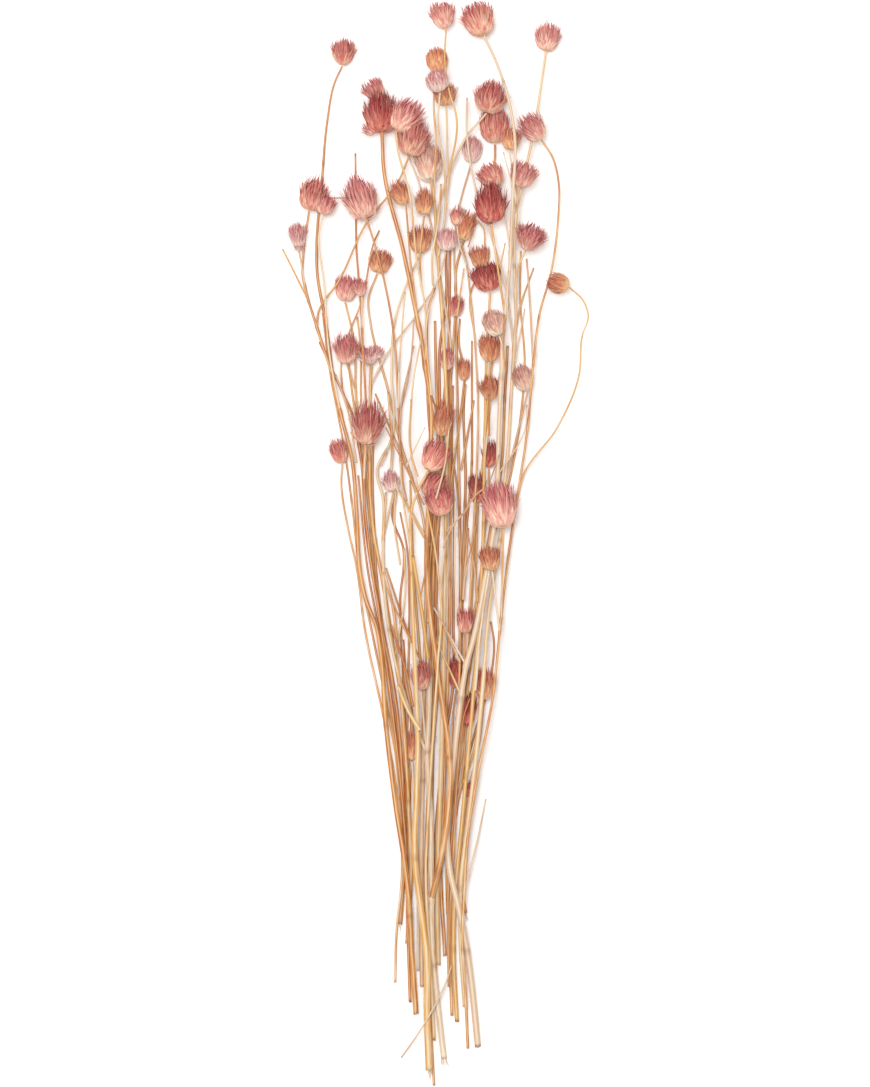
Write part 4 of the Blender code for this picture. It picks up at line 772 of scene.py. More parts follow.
def plant_lines(routes):
    """The lines of one flower stem, with each side stem's foot on the line that it grows from."""
    lines = [Line(route) for route in routes]
    forks = []
    for line in lines[1:]:
        parent = lines[line.route.joins]
        foot = line.knots[0]
        fork = parent.add_knot(foot.x, foot.y)
        line.knots[0] = fork
        forks.append((parent, fork))
    swollen = []
    for parent, fork in forks:
        if fork not in swollen and fork is not parent.knots[0]:
            swell(parent, fork)
            swollen.append(fork)
    return lines


def stretches(line):
    """Each straight stretch of a line, its head's axis too: its two knots, radii and kind."""
    found = [(a, b, a.radius, b.radius, "stem") for a, b in zip(line.knots, line.knots[1:])]
    if line.tip:
        found.append((line.knots[-1], line.tip, line.head_radius, line.head_radius, "head"))
    return found


def head_span(a, b, radius):
    """Where along its axis a head's round ends have their middles."""
    inset = min(radius / a.away(b.x, b.y), 0.5)
    return inset, 1 - inset


class Table:
    """What lies on the table already: straight stretches with their heights and radii."""

    def __init__(self):
        self.rows = []
        self.owners = []

    def add(self, owner, line):
        for a, b, ra, rb, kind in stretches(line):
            low, high = head_span(a, b, ra) if kind == "head" else (0.0, 1.0)
            ends = [
                (a.x + (b.x - a.x) * t, a.y + (b.y - a.y) * t, a.z + (b.z - a.z) * t) for t in (low, high)
            ]
            self.rows.append((*ends[0], ra, *ends[1], rb))
            self.owners.append((owner, line, kind))

    def forget_from(self, count):
        del self.rows[count:]
        del self.owners[count:]

    def least_heights(self, balls, counts, touching):
        """The least height of each ball's middle, over the table and the stretches that count for it."""
        if not self.rows:
            return balls[:, 2]
        row = np.array(self.rows)
        dx, dy = row[:, 4] - row[:, 0], row[:, 5] - row[:, 1]
        length = np.maximum(dx * dx + dy * dy, 1e-12)
        x, y, radius = balls[:, :1], balls[:, 1:2], balls[:, 2:3]
        t = np.clip(((x - row[:, 0]) * dx + (y - row[:, 1]) * dy) / length, 0, 1)
        away = np.hypot(row[:, 0] + dx * t - x, row[:, 1] + dy * t - y)
        both = row[:, 3] + (row[:, 7] - row[:, 3]) * t + radius
        reach = np.where(touching, both * TOUCH, both + CLEARANCE)
        over = row[:, 2] + (row[:, 6] - row[:, 2]) * t + np.sqrt(np.maximum(reach**2 - away**2, 0))
        return np.maximum(balls[:, 2], np.where(counts & (away < reach), over, 0).max(axis=1))


def samples(line):
    """Balls along a line: (index of the stretch, share of the way, x, y, radius, kind)."""
    found = []
    for i, (a, b, ra, rb, kind) in enumerate(stretches(line)):
        low, high = head_span(a, b, ra) if kind == "head" else (0.0, 1.0)
        steps = max(1, math.ceil(a.away(b.x, b.y) * (high - low) / SAMPLE_STEP))
        for step in range(steps + 1):
            t = low + (high - low) * step / steps
            found.append((i, t, a.x + (b.x - a.x) * t, a.y + (b.y - a.y) * t, ra + (rb - ra) * t, kind))
    return found


def needed_heights(line, owner, table):
    """The least height at each sample of a line, over what is in its way.

    Side stems of one plant may touch, but no stem touches a head, save that some heads touch.
    """
    mates = [name for group in HEADS_TOGETHER if line.route.head in group for name in group]
    others = np.array([o != owner for o, _, _ in table.owners], bool)
    heads = np.array([kind == "head" for _, _, kind in table.owners], bool)
    touching = np.array([kind == "head" and o.route.head in mates for _, o, kind in table.owners], bool)
    balls = samples(line)
    is_head = np.array([ball[5] == "head" for ball in balls])[:, None]
    return table.least_heights(
        np.array([ball[2:5] for ball in balls]), others | heads | is_head, touching & is_head
    )


def sloped(heights, places):
    """The lowest line over some heights that is nowhere steeper than a stem may be."""
    apart = np.abs(places[:, None] - places[None, :])
    return (heights[None, :] - STEEPEST * apart).max(axis=1)


def along(line):
    """Distance of each sample from the line's foot, and of each knot."""
    ends = [0.0]
    for a, b, _, _, _ in stretches(line):
        ends.append(ends[-1] + a.away(b.x, b.y))
    places = [ends[i] + (ends[i + 1] - ends[i]) * t for i, t, *_ in samples(line)]
    return np.array(places), np.array(ends)


def raised(level, spots, fixed):
    """Raises knots just enough for the straight stretches to clear the needed heights."""
    worst = 0.0
    for i, t, need in spots:
        lack = need - (level[i] * (1 - t) + level[i + 1] * t)
        if lack <= 0:
            continue
        worst = max(worst, lack)
        shares = (0 if fixed[i] else 1 - t, 0 if fixed[i + 1] else t)
        weight = shares[0] * (1 - t) + shares[1] * t
        if weight > LEAST_WEIGHT:
            level[i] += lack * shares[0] / weight
            level[i + 1] += lack * shares[1] / weight
    return worst


def settle(line, heights, held):
    """Gives the knots their heights: a stiff stem that clears the needed heights and droops at its end.

    Some of its forks are held up to a height, for the side stems that start there.
    """
    knots = line.knots + ([line.tip] if line.tip else [])
    places, ends = along(line)
    slope = sloped(heights, places)
    fixed = [knot.settled for knot in knots]
    least = np.array([knot.z if knot.settled else held.get(knot, 0) for knot in knots])
    level = np.where(fixed, least, np.maximum(np.interp(ends, places, slope), least))
    spots = [(ball[0], ball[1], need) for ball, need in zip(samples(line), heights)]
    steps = np.diff(ends)
    for _ in range(STIFFNESS):
        straight = level[:-2] + (level[2:] - level[:-2]) * steps[:-1] / (steps[:-1] + steps[1:])
        level[1:-1] = np.maximum((level[1:-1] + straight) / 2, least[1:-1])
        raised(level, spots, fixed)
    for _ in range(MOST_TURNS):
        if raised(level, spots, fixed) < CLOSE_ENOUGH:
            break
    for knot, height in zip(knots, level):
        knot.z = float(height)
        knot.settled = True


def lay_plant(name, routes, table, forks):
    """Lays one flower stem over the table, with some forks held up.

    It gives back the stem's lines, and the forks that lie too low for their side stems.
    """
    lines = plant_lines(routes)
    feet = [line.knots[0] for line in lines]
    places = [(foot.x, foot.y) for foot in feet]
    held = {foot: forks[place] for foot, place in zip(feet, places) if place in forks}
    low = {}
    for line, place in zip(lines, places):
        heights = needed_heights(line, name, table)
        start = sloped(heights, along(line)[0])[0]
        if line.knots[0].settled and start > line.knots[0].z + FORK_STEP:
            low[place] = start
        settle(line, heights, held)
        table.add(name, line)
    return lines, low


def lay(stems):
    """Lays every flower stem on the table, in order, each over what lies there already."""
    table = Table()
    plants = {}
    for name, routes in ({name: inside_plant(rows) for name, rows in INSIDE.items()} | stems).items():
        before = len(table.rows)
        forks = {}
        for _ in range(FORK_TURNS):
            table.forget_from(before)
            plants[name], low = lay_plant(name, routes, table, forks)
            if not low:
                break
            for place, height in low.items():
                forks[place] = max(height, forks.get(place, 0)) + FORK_STEP
    return plants


class AmaranthStems(bpy.types.PropertyGroup):
    """Sizes and colours of the straw stems."""

    sides: bpy.props.IntProperty(
        name="Ridges", description="Lengthwise ridges round a stem", default=6, min=4, max=12
    )
    ridge: bpy.props.FloatProperty(
        name="Ridge depth", description="Depth of the ridges, as a share of the half width",
        default=0.12, min=0, max=0.3, subtype="FACTOR",
    )
    joint: bpy.props.FloatProperty(
        name="Joint swelling", description="How much a leaf joint swells, as a share of the half width",
        default=0.16, min=0, max=0.6, subtype="FACTOR",
    )
    # From pale to weathered straw, the colours also carry painted shade: stems that lie underneath are
    # browner.
    pale: bpy.props.FloatVectorProperty(
        name="Pale straw", description="Straw of the stems that lie on top", subtype="COLOR",
        default=linear("#FFF6DE"), min=0, max=1,
    )
    golden: bpy.props.FloatVectorProperty(
        name="Golden straw", description="Straw between pale and weathered", subtype="COLOR",
        default=linear("#F0B25E"), min=0, max=1,
    )
    brown: bpy.props.FloatVectorProperty(
        name="Weathered straw", description="Straw of the stems that lie underneath", subtype="COLOR",
        default=linear("#B85C1E"), min=0, max=1,
    )


class AmaranthHeads(bpy.types.PropertyGroup):
    """Sizes of the papery heads."""

    most_bracts: bpy.props.IntProperty(
        name="Bracts", description="Bracts on a head of 30 pixels, 16.5 mm", default=280, min=30, max=400
    )
    thickness: bpy.props.FloatProperty(
        name="Bract thickness", description="Thickness of one papery bract", default=0.1 * MM,
        min=0.02 * MM, max=0.5 * MM, unit="LENGTH",
    )
    slender: bpy.props.FloatProperty(
        name="Upper bract", description="Width of an upper bract, as a share of the head's half width",
        default=0.15, min=0.05, max=0.6, subtype="FACTOR",
    )
    broad: bpy.props.FloatProperty(
        name="Lower bract", description="Width of a lower bract, as a share of the head's half width",
        default=0.37, min=0.1, max=0.9, subtype="FACTOR",
    )
    hairs: bpy.props.IntProperty(
        name="Hairs", description="Silky hairs on one head", default=40, min=0, max=200
    )
    hair_width: bpy.props.FloatProperty(
        name="Hair width", description="Thickness of a silky hair", default=0.09 * MM,
        min=0.02 * MM, max=0.4 * MM, unit="LENGTH",
    )


class AmaranthStage(bpy.types.PropertyGroup):
    """The floor and the light, which aren't part of the bunch."""

    floor: bpy.props.FloatVectorProperty(
        name="Floor", description="Colour of the plain floor", subtype="COLOR",
        default=linear("#F7F5F3", 1.0), min=0, max=1,
    )
    sky: bpy.props.FloatVectorProperty(
        name="Daylight colour", description="Warm, so that shade between stems isn't grey", subtype="COLOR",
        default=(1.0, 0.955, 0.9), min=0, max=1,
    )
    daylight: bpy.props.FloatProperty(
        name="Daylight", description="Strength of the even light from all round", default=0.5, min=0, max=3
    )
    lamp: bpy.props.FloatProperty(
        name="Lamp", description="Power of the soft lamp overhead", default=156.0, min=0, max=900,
        unit="POWER",
    )


def course(line):
    """A stem's middle line and half widths: one smooth run through its knots, in even steps."""
    knots = np.array([(k.x, k.y, k.z, k.radius) for k in line.knots])
    # At a fork the knot is the wider stem's, and this one keeps its own width.
    knots[0, 3] = line.route.widths[1] * PIXEL / 2
    steps = np.linalg.norm(np.diff(knots[:, :3], axis=0), axis=1)
    ends = np.concatenate([[0], np.cumsum(steps)])
    if len(knots) > 2:
        slopes = np.gradient(knots[:, :3], ends, axis=0)
    else:
        slopes = np.repeat((knots[1:, :3] - knots[:1, :3]) / ends[-1], 2, axis=0)
    count = max(4, math.ceil(ends[-1] / RING_STEP)) + 1
    spots = np.linspace(0, ends[-1], count)
    i = np.clip(np.searchsorted(ends, spots, side="right") - 1, 0, len(knots) - 2)
    h = (ends[i + 1] - ends[i])[:, None]
    t = ((spots - ends[i])[:, None]) / h
    points = (
        (2 * t**3 - 3 * t**2 + 1) * knots[i, :3] + (t**3 - 2 * t**2 + t) * h * slopes[i]
        + (3 * t**2 - 2 * t**3) * knots[i + 1, :3] + (t**3 - t**2) * h * slopes[i + 1]
    )
    ease = (3 * t**2 - 2 * t**3)[:, 0]
    radii = knots[i, 3] + (knots[i + 1, 3] - knots[i, 3]) * ease
    return points, radii, spots


def solids(kind):
    """The names of the solids of one kind, stem or head."""
    return [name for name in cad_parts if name.startswith(kind + "_")]


def head_names(solid):
    """The heads of a head solid."""
    return solid.split("_")[1:]


def group_of(name, groups):
    """The group that a name is in, or the name alone."""
    return next((group for group in groups if name in group), (name,))


def stem_solid(group):
    """The solid that some plants are part of. It is called by those that are traced."""
    return "stem_" + "_".join(name for name in group if name not in INSIDE)


def corners_of(mesh):
    """The corners of a mesh, one a row."""
    corners = np.empty(len(mesh.vertices) * 3)
    mesh.vertices.foreach_get("co", corners)
    return corners.reshape(-1, 3)


def head_lines(plants):
    """The stems that carry a head, by its name."""
    return {line.route.head: line for group in plants.values() for line in group if line.tip}


def frame_shift(plants):
    """What moves the laid stems to where the solids lie: it is read from the flat feet of the heads."""
    lines = head_lines(plants)
    found = []
    for solid in solids("head"):
        names = head_names(solid)
        if len(names) > 1:
            continue
        line = lines[names[0]]
        base, tip = (np.array((k.x, k.y, k.z)) for k in (line.knots[-1], line.tip))
        axis = (tip - base) / np.linalg.norm(tip - base)
        corners = corners_of(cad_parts[solid].data)
        rise = corners @ axis
        ring = np.unique(np.round(corners[rise < rise.min() + FOOT_SLICE], 6), axis=0)
        found.append(ring.mean(axis=0) - base - axis * HEAD_SEAT)
    shift = np.median(found, axis=0)
    if np.abs(np.array(found) - shift).max() > SHIFT_ERROR:
        raise RuntimeError("The laid heads don't stand where the solids do")
    return shift


Bunch = namedtuple("Bunch", "plants shift")
kept = []


def shoot_name(number):
    """What a thin shoot is called among the plants."""
    return f"shoot {number}"


def laid_bunch():
    """The laid stems with their shift, worked out once."""
    if not kept:
        shoots = {
            shoot_name(i): [Route(None, (width * SHOOT_TIP, width), points)]
            for i, (width, _, points) in enumerate(SHOOTS, 1)
        }
        plants = lay(STEMS | shoots)
        kept.append(Bunch(plants, frame_shift(plants)))
    return kept[0]


def deselect():
    """Goes to object mode, with nothing selected."""
    if bpy.context.mode != "OBJECT":
        bpy.ops.object.mode_set(mode="OBJECT")
    bpy.ops.object.select_all(action="DESELECT")


def activate(*objects):
    """Selects some objects alone, with the first one active."""
    deselect()
    for obj in objects:
        obj.select_set(True)
    bpy.context.view_layer.objects.active = objects[0]


def face_outward():
    """In edit mode, turns all faces outward, and goes back to object mode."""
    bpy.ops.mesh.select_all(action="SELECT")
    bpy.ops.mesh.normals_make_consistent(inside=False)
    bpy.ops.object.mode_set(mode="OBJECT")


def as_arrays(obj):
    """The corners and faces of an object, which isn't needed any more."""
    points = np.array([vertex.co for vertex in obj.data.vertices])
    faces = [tuple(face.vertices) for face in obj.data.polygons]
    bpy.data.objects.remove(obj)
    return points, faces


def bract_model(thickness):
    """One papery bract, modelled as by hand: X is across, Y from root to tip, Z is outwards.

    It is one long and one wide, keeled along its middle and pointed, with a thin closed wall.
    """
    last = len(BRACT_ROWS) - 1
    deselect()
    bpy.ops.mesh.primitive_grid_add(x_subdivisions=2, y_subdivisions=last, size=1, location=(0, 0.5, 0))
    obj = bpy.context.object
    bpy.ops.object.transform_apply(location=True, rotation=False, scale=False)
    bpy.ops.object.mode_set(mode="EDIT")
    shape = bmesh.from_edit_mesh(obj.data)
    for i, (place, share) in reversed(list(enumerate(BRACT_ROWS))):
        bpy.ops.mesh.select_all(action="DESELECT")
        for vertex in shape.verts:
            vertex.select = abs(vertex.co.y - i / last) < NEAR and (vertex.co.y < 1 or i == last)
        shape.select_flush(True)
        if share:
            bpy.ops.transform.resize(value=(share, 1, 1), center_override=(0, i / last, 0))
            bpy.ops.transform.translate(value=(0, place - i / last, 0))
        else:
            bpy.ops.mesh.merge(type="CENTER")
        shape = bmesh.from_edit_mesh(obj.data)
    bpy.ops.mesh.select_all(action="DESELECT")
    for vertex in shape.verts:
        vertex.select = abs(vertex.co.x) < NEAR and vertex.co.y < 1 - NEAR
    shape.select_flush(True)
    bpy.ops.transform.translate(value=(0, 0, KEEL))
    bpy.ops.object.mode_set(mode="OBJECT")
    wall = obj.modifiers.new("wall", "SOLIDIFY")
    wall.thickness = thickness / USUAL_BRACT
    wall.offset = 0
    bpy.ops.object.modifier_apply(modifier=wall.name)
    bpy.ops.object.mode_set(mode="EDIT")
    face_outward()
    return as_arrays(obj)


def fibre_model():
    """A hair or fibre, one wide and one long, drawn out of a triangle and tapered to its tip."""
    deselect()
    bpy.ops.mesh.primitive_circle_add(vertices=3, radius=0.5, fill_type="NGON", rotation=(math.pi / 2, 0, 0))
    obj = bpy.context.object
    bpy.ops.object.transform_apply(location=False, rotation=True, scale=False)
    bpy.ops.object.mode_set(mode="EDIT")
    bpy.ops.mesh.select_all(action="SELECT")
    for share in FIBRE_TAPER:
        bpy.ops.mesh.extrude_region_move(TRANSFORM_OT_translate={"value": (0, 1 / 3, 0)})
        bpy.ops.transform.resize(value=(share, 1, share))
    face_outward()
    return as_arrays(obj)


def core_model():
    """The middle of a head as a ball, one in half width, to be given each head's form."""
    deselect()
    bpy.ops.mesh.primitive_uv_sphere_add(segments=16, ring_count=10, radius=1)
    return as_arrays(bpy.context.object)


def write_numbers(mesh, name, kind, values):
    """Stores some numbers of each corner as an attribute, which the materials read."""
    field = "color" if kind == "FLOAT_COLOR" else "vector"
    made = mesh.attributes.new(name, kind, "POINT")
    made.data.foreach_set(field, values.astype(np.float32).ravel())


def write_straw(mesh, facts, grain, groove, up):
    """Stores what the straw reads: also whether a corner is in a groove and how far up its side it is, for
    painted light and shade.
    """
    write_numbers(mesh, "facts", "FLOAT_COLOR", facts)
    write_numbers(mesh, "grain", "FLOAT_VECTOR", grain)
    write_numbers(mesh, "relief", "FLOAT_VECTOR", np.stack([groove, up, 0 * up], axis=1))


def new_piece(name, points, faces, materials):
    """A piece in the scene, made of corners and faces."""
    mesh = bpy.data.meshes.new(name)
    mesh.from_pydata(points.tolist(), [], faces)
    for material in materials:
        mesh.materials.append(material)
    obj = bpy.data.objects.new(name, mesh)
    bpy.context.scene.collection.objects.link(obj)
    return obj


class Heap:
    """Corners, faces and the numbers of each corner, gathered for one piece."""

    def __init__(self):
        self.points, self.faces, self.facts, self.grain, self.slots = [], [], [], [], []
        self.count = 0

    def add(self, points, faces, facts, grain, slot):
        self.points.append(points)
        self.faces += [tuple(corner + self.count for corner in face) for face in faces]
        self.facts.append(facts)
        self.grain.append(grain)
        self.slots += [slot] * len(faces)
        self.count += len(points)

    def made(self, name, materials):
        """The piece, with its materials and its numbers."""
        obj = new_piece(name, np.concatenate(self.points), self.faces, materials)
        write_numbers(obj.data, "facts", "FLOAT_COLOR", np.concatenate(self.facts))
        write_numbers(obj.data, "grain", "FLOAT_VECTOR", np.concatenate(self.grain))
        obj.data.polygons.foreach_set("material_index", self.slots)
        obj.data.update()
        return obj


def node(tree, kind, out=0, **given):
    """Adds a node, sets or links its inputs and settings, and gives one of its outputs."""
    made = tree.nodes.new("ShaderNode" + kind)
    for name, value in given.items():
        if hasattr(made, name):
            setattr(made, name, value)
            continue
        socket = made.inputs[int(name[1:]) if name[1:].isdigit() else name.replace("_", " ")]
        if isinstance(value, bpy.types.NodeSocket):
            tree.links.new(value, socket)
        elif socket.type == "RGBA":
            socket.default_value = (*value, 1)
        else:
            socket.default_value = value
    return made.outputs[out]


def facts_of(tree):
    """The four facts that each corner of a piece carries."""
    facts = node(tree, "Attribute", attribute_name="facts")
    parts = facts.node.outputs
    split = node(tree, "SeparateColor", Color=parts["Color"]).node
    return (*split.outputs[:3], parts["Alpha"])


def new_material(name):
    """(material, its node tree)."""
    material = bpy.data.materials.new(name)
    material.use_nodes = True
    return material, material.node_tree


def finish_material(material, colour, bump=None, **surface):
    """Gives a material its colour, its bump and its surface, and gives it back."""
    tree = material.node_tree
    inputs = tree.nodes["Principled BSDF"].inputs
    if isinstance(colour, bpy.types.NodeSocket):
        tree.links.new(colour, inputs["Base Color"])
    else:
        inputs["Base Color"].default_value = (*colour, 1)
    if bump:
        tree.links.new(bump, inputs["Normal"])
    for name, value in surface.items():
        inputs[name.replace("_", " ")].default_value = value
    return material


def papery_bract(tone):
    """Dry papery bract: matt and streaked lengthwise, with paler edges and painted shade at the roots of
    upper bracts, so it looks thin and soft.
    """
    crown, middle, foot = (linear(code) for code in TONES[tone])
    material, tree = new_material(f"papery_bract_{tone}")
    rise, blade, chance, across = facts_of(tree)
    grain = node(tree, "Attribute", out=1, attribute_name="grain")
    # Veins run from root to tip, about 0.3 mm apart.
    veins = node(tree, "TexNoise", Vector=grain, Scale=1.0, Detail=2.0, Roughness=0.6)
    # The height on the head sets the colour, a tip is further up than its root, and no two bracts match.
    level = rise
    for value, factor in ((blade, 0.34), (chance, 0.75), (veins, 0.6)):
        level = node(tree, "Math", operation="MULTIPLY_ADD", i0=value, i1=factor, i2=level)
    low = node(tree, "MapRange", Value=level, From_Min=0.86, From_Max=1.36)
    high = node(tree, "MapRange", Value=level, From_Min=1.4, From_Max=2.0)
    # Painted shade: the root of an upper bract, packed between the others, is painted a deeper red.
    inner = node(tree, "MapRange", Value=blade, From_Min=0.72, From_Max=0.3)
    upper = node(tree, "MapRange", Value=rise, From_Min=0.1, From_Max=0.6, To_Max=0.8)
    root = node(tree, "Math", operation="MULTIPLY", use_clamp=True, i0=inner, i1=upper)
    deep = node(tree, "Mix", out=2, data_type="RGBA", i0=0.45, i6=crown, i7=linear("#8A1A1C"))
    # Thin edges and some streaks are paler.
    streak = node(tree, "MapRange", Value=veins, From_Min=0.52, From_Max=0.7, To_Max=0.62)
    edge = node(tree, "MapRange", Value=across, From_Min=0.35, From_Max=0.95, To_Max=0.45)
    paler_marks = node(tree, "Math", operation="ADD", use_clamp=True, i0=streak, i1=edge)
    pale = node(tree, "Mix", out=2, data_type="RGBA", i0=0.25, i6=foot, i7=linear("#FFF0E0"))
    # Where the stem joins, the head is dry straw orange.
    seat = node(tree, "MapRange", Value=rise, From_Min=0.1, From_Max=0.0, To_Max=0.75)
    orange = linear("#DE9A58")
    colour = foot
    for share, tint in ((low, middle), (high, crown), (root, deep), (paler_marks, pale), (seat, orange)):
        colour = node(tree, "Mix", out=2, data_type="RGBA", i0=share, i6=colour, i7=tint)
    bump = node(tree, "Bump", Height=veins, Strength=0.35, Distance=0.2 * MM)
    return finish_material(
        material, colour, bump, Roughness=0.72, Specular_IOR_Level=0.3,
        Sheen_Weight=0.08, Sheen_Roughness=0.5,
    )


def straw(sizes):
    """Dried stalk, split lengthwise into fine fibres: satin, paler on the ridges, with painted shade in its
    grooves and underneath and a painted highlight on top.
    """
    material, tree = new_material("dried_straw")
    # The first fact is how weathered the stem is, with painted shade: stems that lie lower are browner.
    weather_and_depth_shade, joint, end, chance = facts_of(tree)
    grain = node(tree, "Attribute", out=1, attribute_name="grain")
    # Streaks are about 0.8 mm wide and some 14 mm long, fibres a third of that, patches three times.
    streaks = node(tree, "TexNoise", Vector=grain, Scale=1.0, Detail=1.0, Roughness=0.5)
    fibres = node(tree, "TexNoise", Vector=grain, Scale=3.0, Detail=2.0, Roughness=0.65)
    patches = node(tree, "TexNoise", Vector=grain, Scale=0.3, Detail=2.0, Roughness=0.5)
    level = weather_and_depth_shade
    for value, factor in ((streaks, 2.0), (fibres, 0.7), (patches, 0.9)):
        level = node(tree, "Math", operation="MULTIPLY_ADD", i0=value, i1=factor, i2=level)
    low = node(tree, "MapRange", Value=level, From_Min=1.95, From_Max=2.5)
    high = node(tree, "MapRange", Value=level, From_Min=2.5, From_Max=3.1)
    # Some stems have kept their yellow, some are pinkish or greyish, and some have gone orange-brown.
    yellow = node(tree, "MapRange", Value=chance, From_Min=0.3, From_Max=0.0, To_Max=0.65)
    rising = node(tree, "MapRange", Value=chance, From_Min=0.45, From_Max=0.62, To_Max=0.35)
    falling = node(tree, "MapRange", Value=chance, From_Min=0.8, From_Max=0.7)
    greyish = node(tree, "Math", operation="MULTIPLY", i0=rising, i1=falling)
    orange = node(tree, "MapRange", Value=chance, From_Min=0.78, From_Max=0.95, To_Max=0.6)
    # Painted shade: grooves between the ridges and the underside are darker. Painted highlight: the upper
    # side is paler.
    relief = node(tree, "Attribute", out=1, attribute_name="relief")
    groove, up, _ = node(tree, "SeparateXYZ", Vector=relief).node.outputs
    groove = node(tree, "Math", operation="MULTIPLY", i0=groove, i1=0.28)
    below = node(tree, "MapRange", Value=up, From_Min=0.85, From_Max=0.15, To_Max=0.85)
    above = node(tree, "MapRange", Value=up, From_Min=0.8, From_Max=1.0, To_Max=0.55)
    # Leaf joints and cut ends are brown.
    ring = node(tree, "Math", operation="MULTIPLY", i0=joint, i1=0.45)
    colour = node(tree, "Mix", out=2, data_type="RGBA", i0=low, i6=sizes.pale, i7=sizes.golden)
    colour = node(tree, "Mix", out=2, data_type="RGBA", i0=high, i6=colour, i7=sizes.brown)
    for share, tint in (
        (yellow, "#F8D27C"), (greyish, "#DEAC80"), (orange, "#BE6C2C"), (groove, "#AC621E"),
        (below, "#B8621C"), (above, "#FFF0D6"), (ring, "#9A6034"), (end, "#7A5230"),
    ):
        colour = node(tree, "Mix", out=2, data_type="RGBA", i0=share, i6=colour, i7=linear(tint))
    bump = node(tree, "Bump", Height=fibres, Strength=0.45, Distance=0.3 * MM)
    return finish_material(material, colour, bump, Roughness=0.5, Specular_IOR_Level=0.4)


def pith():
    """Dry pith in a cut end: pale, spongy and quite matt, with a few dark pores."""
    material, tree = new_material("dried_pith")
    place = node(tree, "TexCoord", out=3)
    # Pores are about 0.3 mm apart.
    pores = node(tree, "TexNoise", Vector=place, Scale=1 / (0.3 * MM), Detail=2.0)
    colour = node(tree, "Mix", out=2, data_type="RGBA", i0=pores, i6=linear("#8A6238"), i7=linear("#F2DDB2"))
    return finish_material(material, colour, Roughness=0.9)


def silky_hair():
    """Plant hair: white, thin and slightly shiny."""
    material, tree = new_material("silky_hair")
    chance = facts_of(tree)[2]
    colour = node(tree, "Mix", out=2, data_type="RGBA", i0=chance, i6=linear("#F8ECE4"), i7=linear("#EBC4BC"))
    return finish_material(material, colour, Roughness=0.4)


def stem_profile(ridges, depth):
    """A stem's section, one in half width: a curve with ridges, which stems are drawn with."""
    deselect()
    bpy.ops.mesh.primitive_circle_add(vertices=2 * ridges, radius=1)
    obj = bpy.context.object
    obj.name = "stem_profile"
    for i, vertex in enumerate(obj.data.vertices):
        vertex.co *= 1 - depth * (i % 2)
    bpy.ops.object.convert(target="CURVE")
    return obj


def select_corners(obj, first, count):
    """In edit mode, selects some corners that follow each other, and gives the mesh being edited."""
    bpy.ops.mesh.select_all(action="DESELECT")
    shape = bmesh.from_edit_mesh(obj.data)
    shape.verts.ensure_lookup_table()
    for vertex in shape.verts[first : first + count]:
        vertex.select = True
    shape.select_flush(True)
    return shape


def stem_mesh(points, radii, profile):
    """One stem drawn along its course, as a closed mesh."""
    curve = bpy.data.curves.new("stem", "CURVE")
    curve.dimensions = "3D"
    curve.twist_mode = "Z_UP"
    curve.bevel_mode = "OBJECT"
    curve.bevel_object = profile
    spline = curve.splines.new("POLY")
    spline.points.add(len(points) - 1)
    spline.points.foreach_set("co", np.column_stack([points, np.ones(len(points))]).ravel())
    spline.points.foreach_set("radius", radii)
    obj = bpy.data.objects.new("stem", curve)
    bpy.context.scene.collection.objects.link(obj)
    activate(obj)
    bpy.ops.object.convert(target="MESH")
    obj = bpy.context.object
    ring = len(obj.data.vertices) // len(points)
    bpy.ops.object.mode_set(mode="EDIT")
    for first in (0, len(obj.data.vertices) - ring):
        select_corners(obj, first, ring)
        bpy.ops.mesh.edge_face_add()
    face_outward()
    return obj


def joints_of(line, length, draw):
    """Where a stem has leaf joints, at odd distances. A thin short stem has none."""
    if min(line.route.widths) < THIN_STEM_PIXELS and length < SHORT_STEM:
        return []
    found, place = [], draw.uniform(*FIRST_JOINT)
    while place < length - JOINT_TO_TOP:
        found.append(place)
        place += draw.uniform(*JOINTS_APART)
    return found


def cut_end(obj, corners, run, radius, draw):
    """Gives a stem's foot a ragged edge, with bark round sunken pith. The pith has the second slot."""
    activate(obj)
    bpy.ops.object.mode_set(mode="EDIT")
    shape = select_corners(obj, 0, corners)
    for vertex in shape.verts:
        if vertex.select:
            vertex.co += run * draw.uniform(-RAGGED, RAGGED)
    bmesh.update_edit_mesh(obj.data)
    bpy.ops.mesh.inset(thickness=float(radius * BARK))
    bpy.ops.transform.translate(value=run * -PITH_DEPTH)
    obj.active_material_index = 1
    bpy.ops.object.material_slot_assign()
    bpy.ops.object.mode_set(mode="OBJECT")


def split_fibres(model, centre, run, radius, count, draw):
    """Fibres that stick out of a split end, each a bent copy of the model: (corners, faces)."""
    corners, model_faces = model
    across, along, up = corners[:, :1], corners[:, 1:2], corners[:, 2:]
    points, faces = [], []
    side = np.cross(run, (0, 0, 1))
    for i in range(count):
        way = draw.uniform(*FIBRE_PLACES) * radius
        length = draw.uniform(*FIBRE_LENGTH) * MM
        spread = side * draw.uniform(*FIBRE_ASIDE) + np.array((0, 0, draw.uniform(*FIBRE_UP)))
        start = centre + side * way - run * FIBRE_ROOT
        path = start + run * along * (length + FIBRE_ROOT) + spread * length * along**2
        points.append(path + side * across * FIBRE_WIDTH * 2 + np.array((0, 0, 1)) * up * FIBRE_WIDTH)
        faces += [tuple(corner + i * len(path) for corner in face) for face in model_faces]
    return np.concatenate(points), faces


def plant_weather_and_shade(plant):
    """How weathered a plant is, with painted shade: one that lies lower, or inside the bunch, is browner."""
    if plant in INSIDE:
        return INSIDE_WEATHER_SHADE
    order = list(STEMS)
    later = PALER_BY * order.index(plant) / (len(order) - 1)
    return WEATHER_SHADE_LEVELS.get(plant, FIRST_WEATHER_SHADE - later)


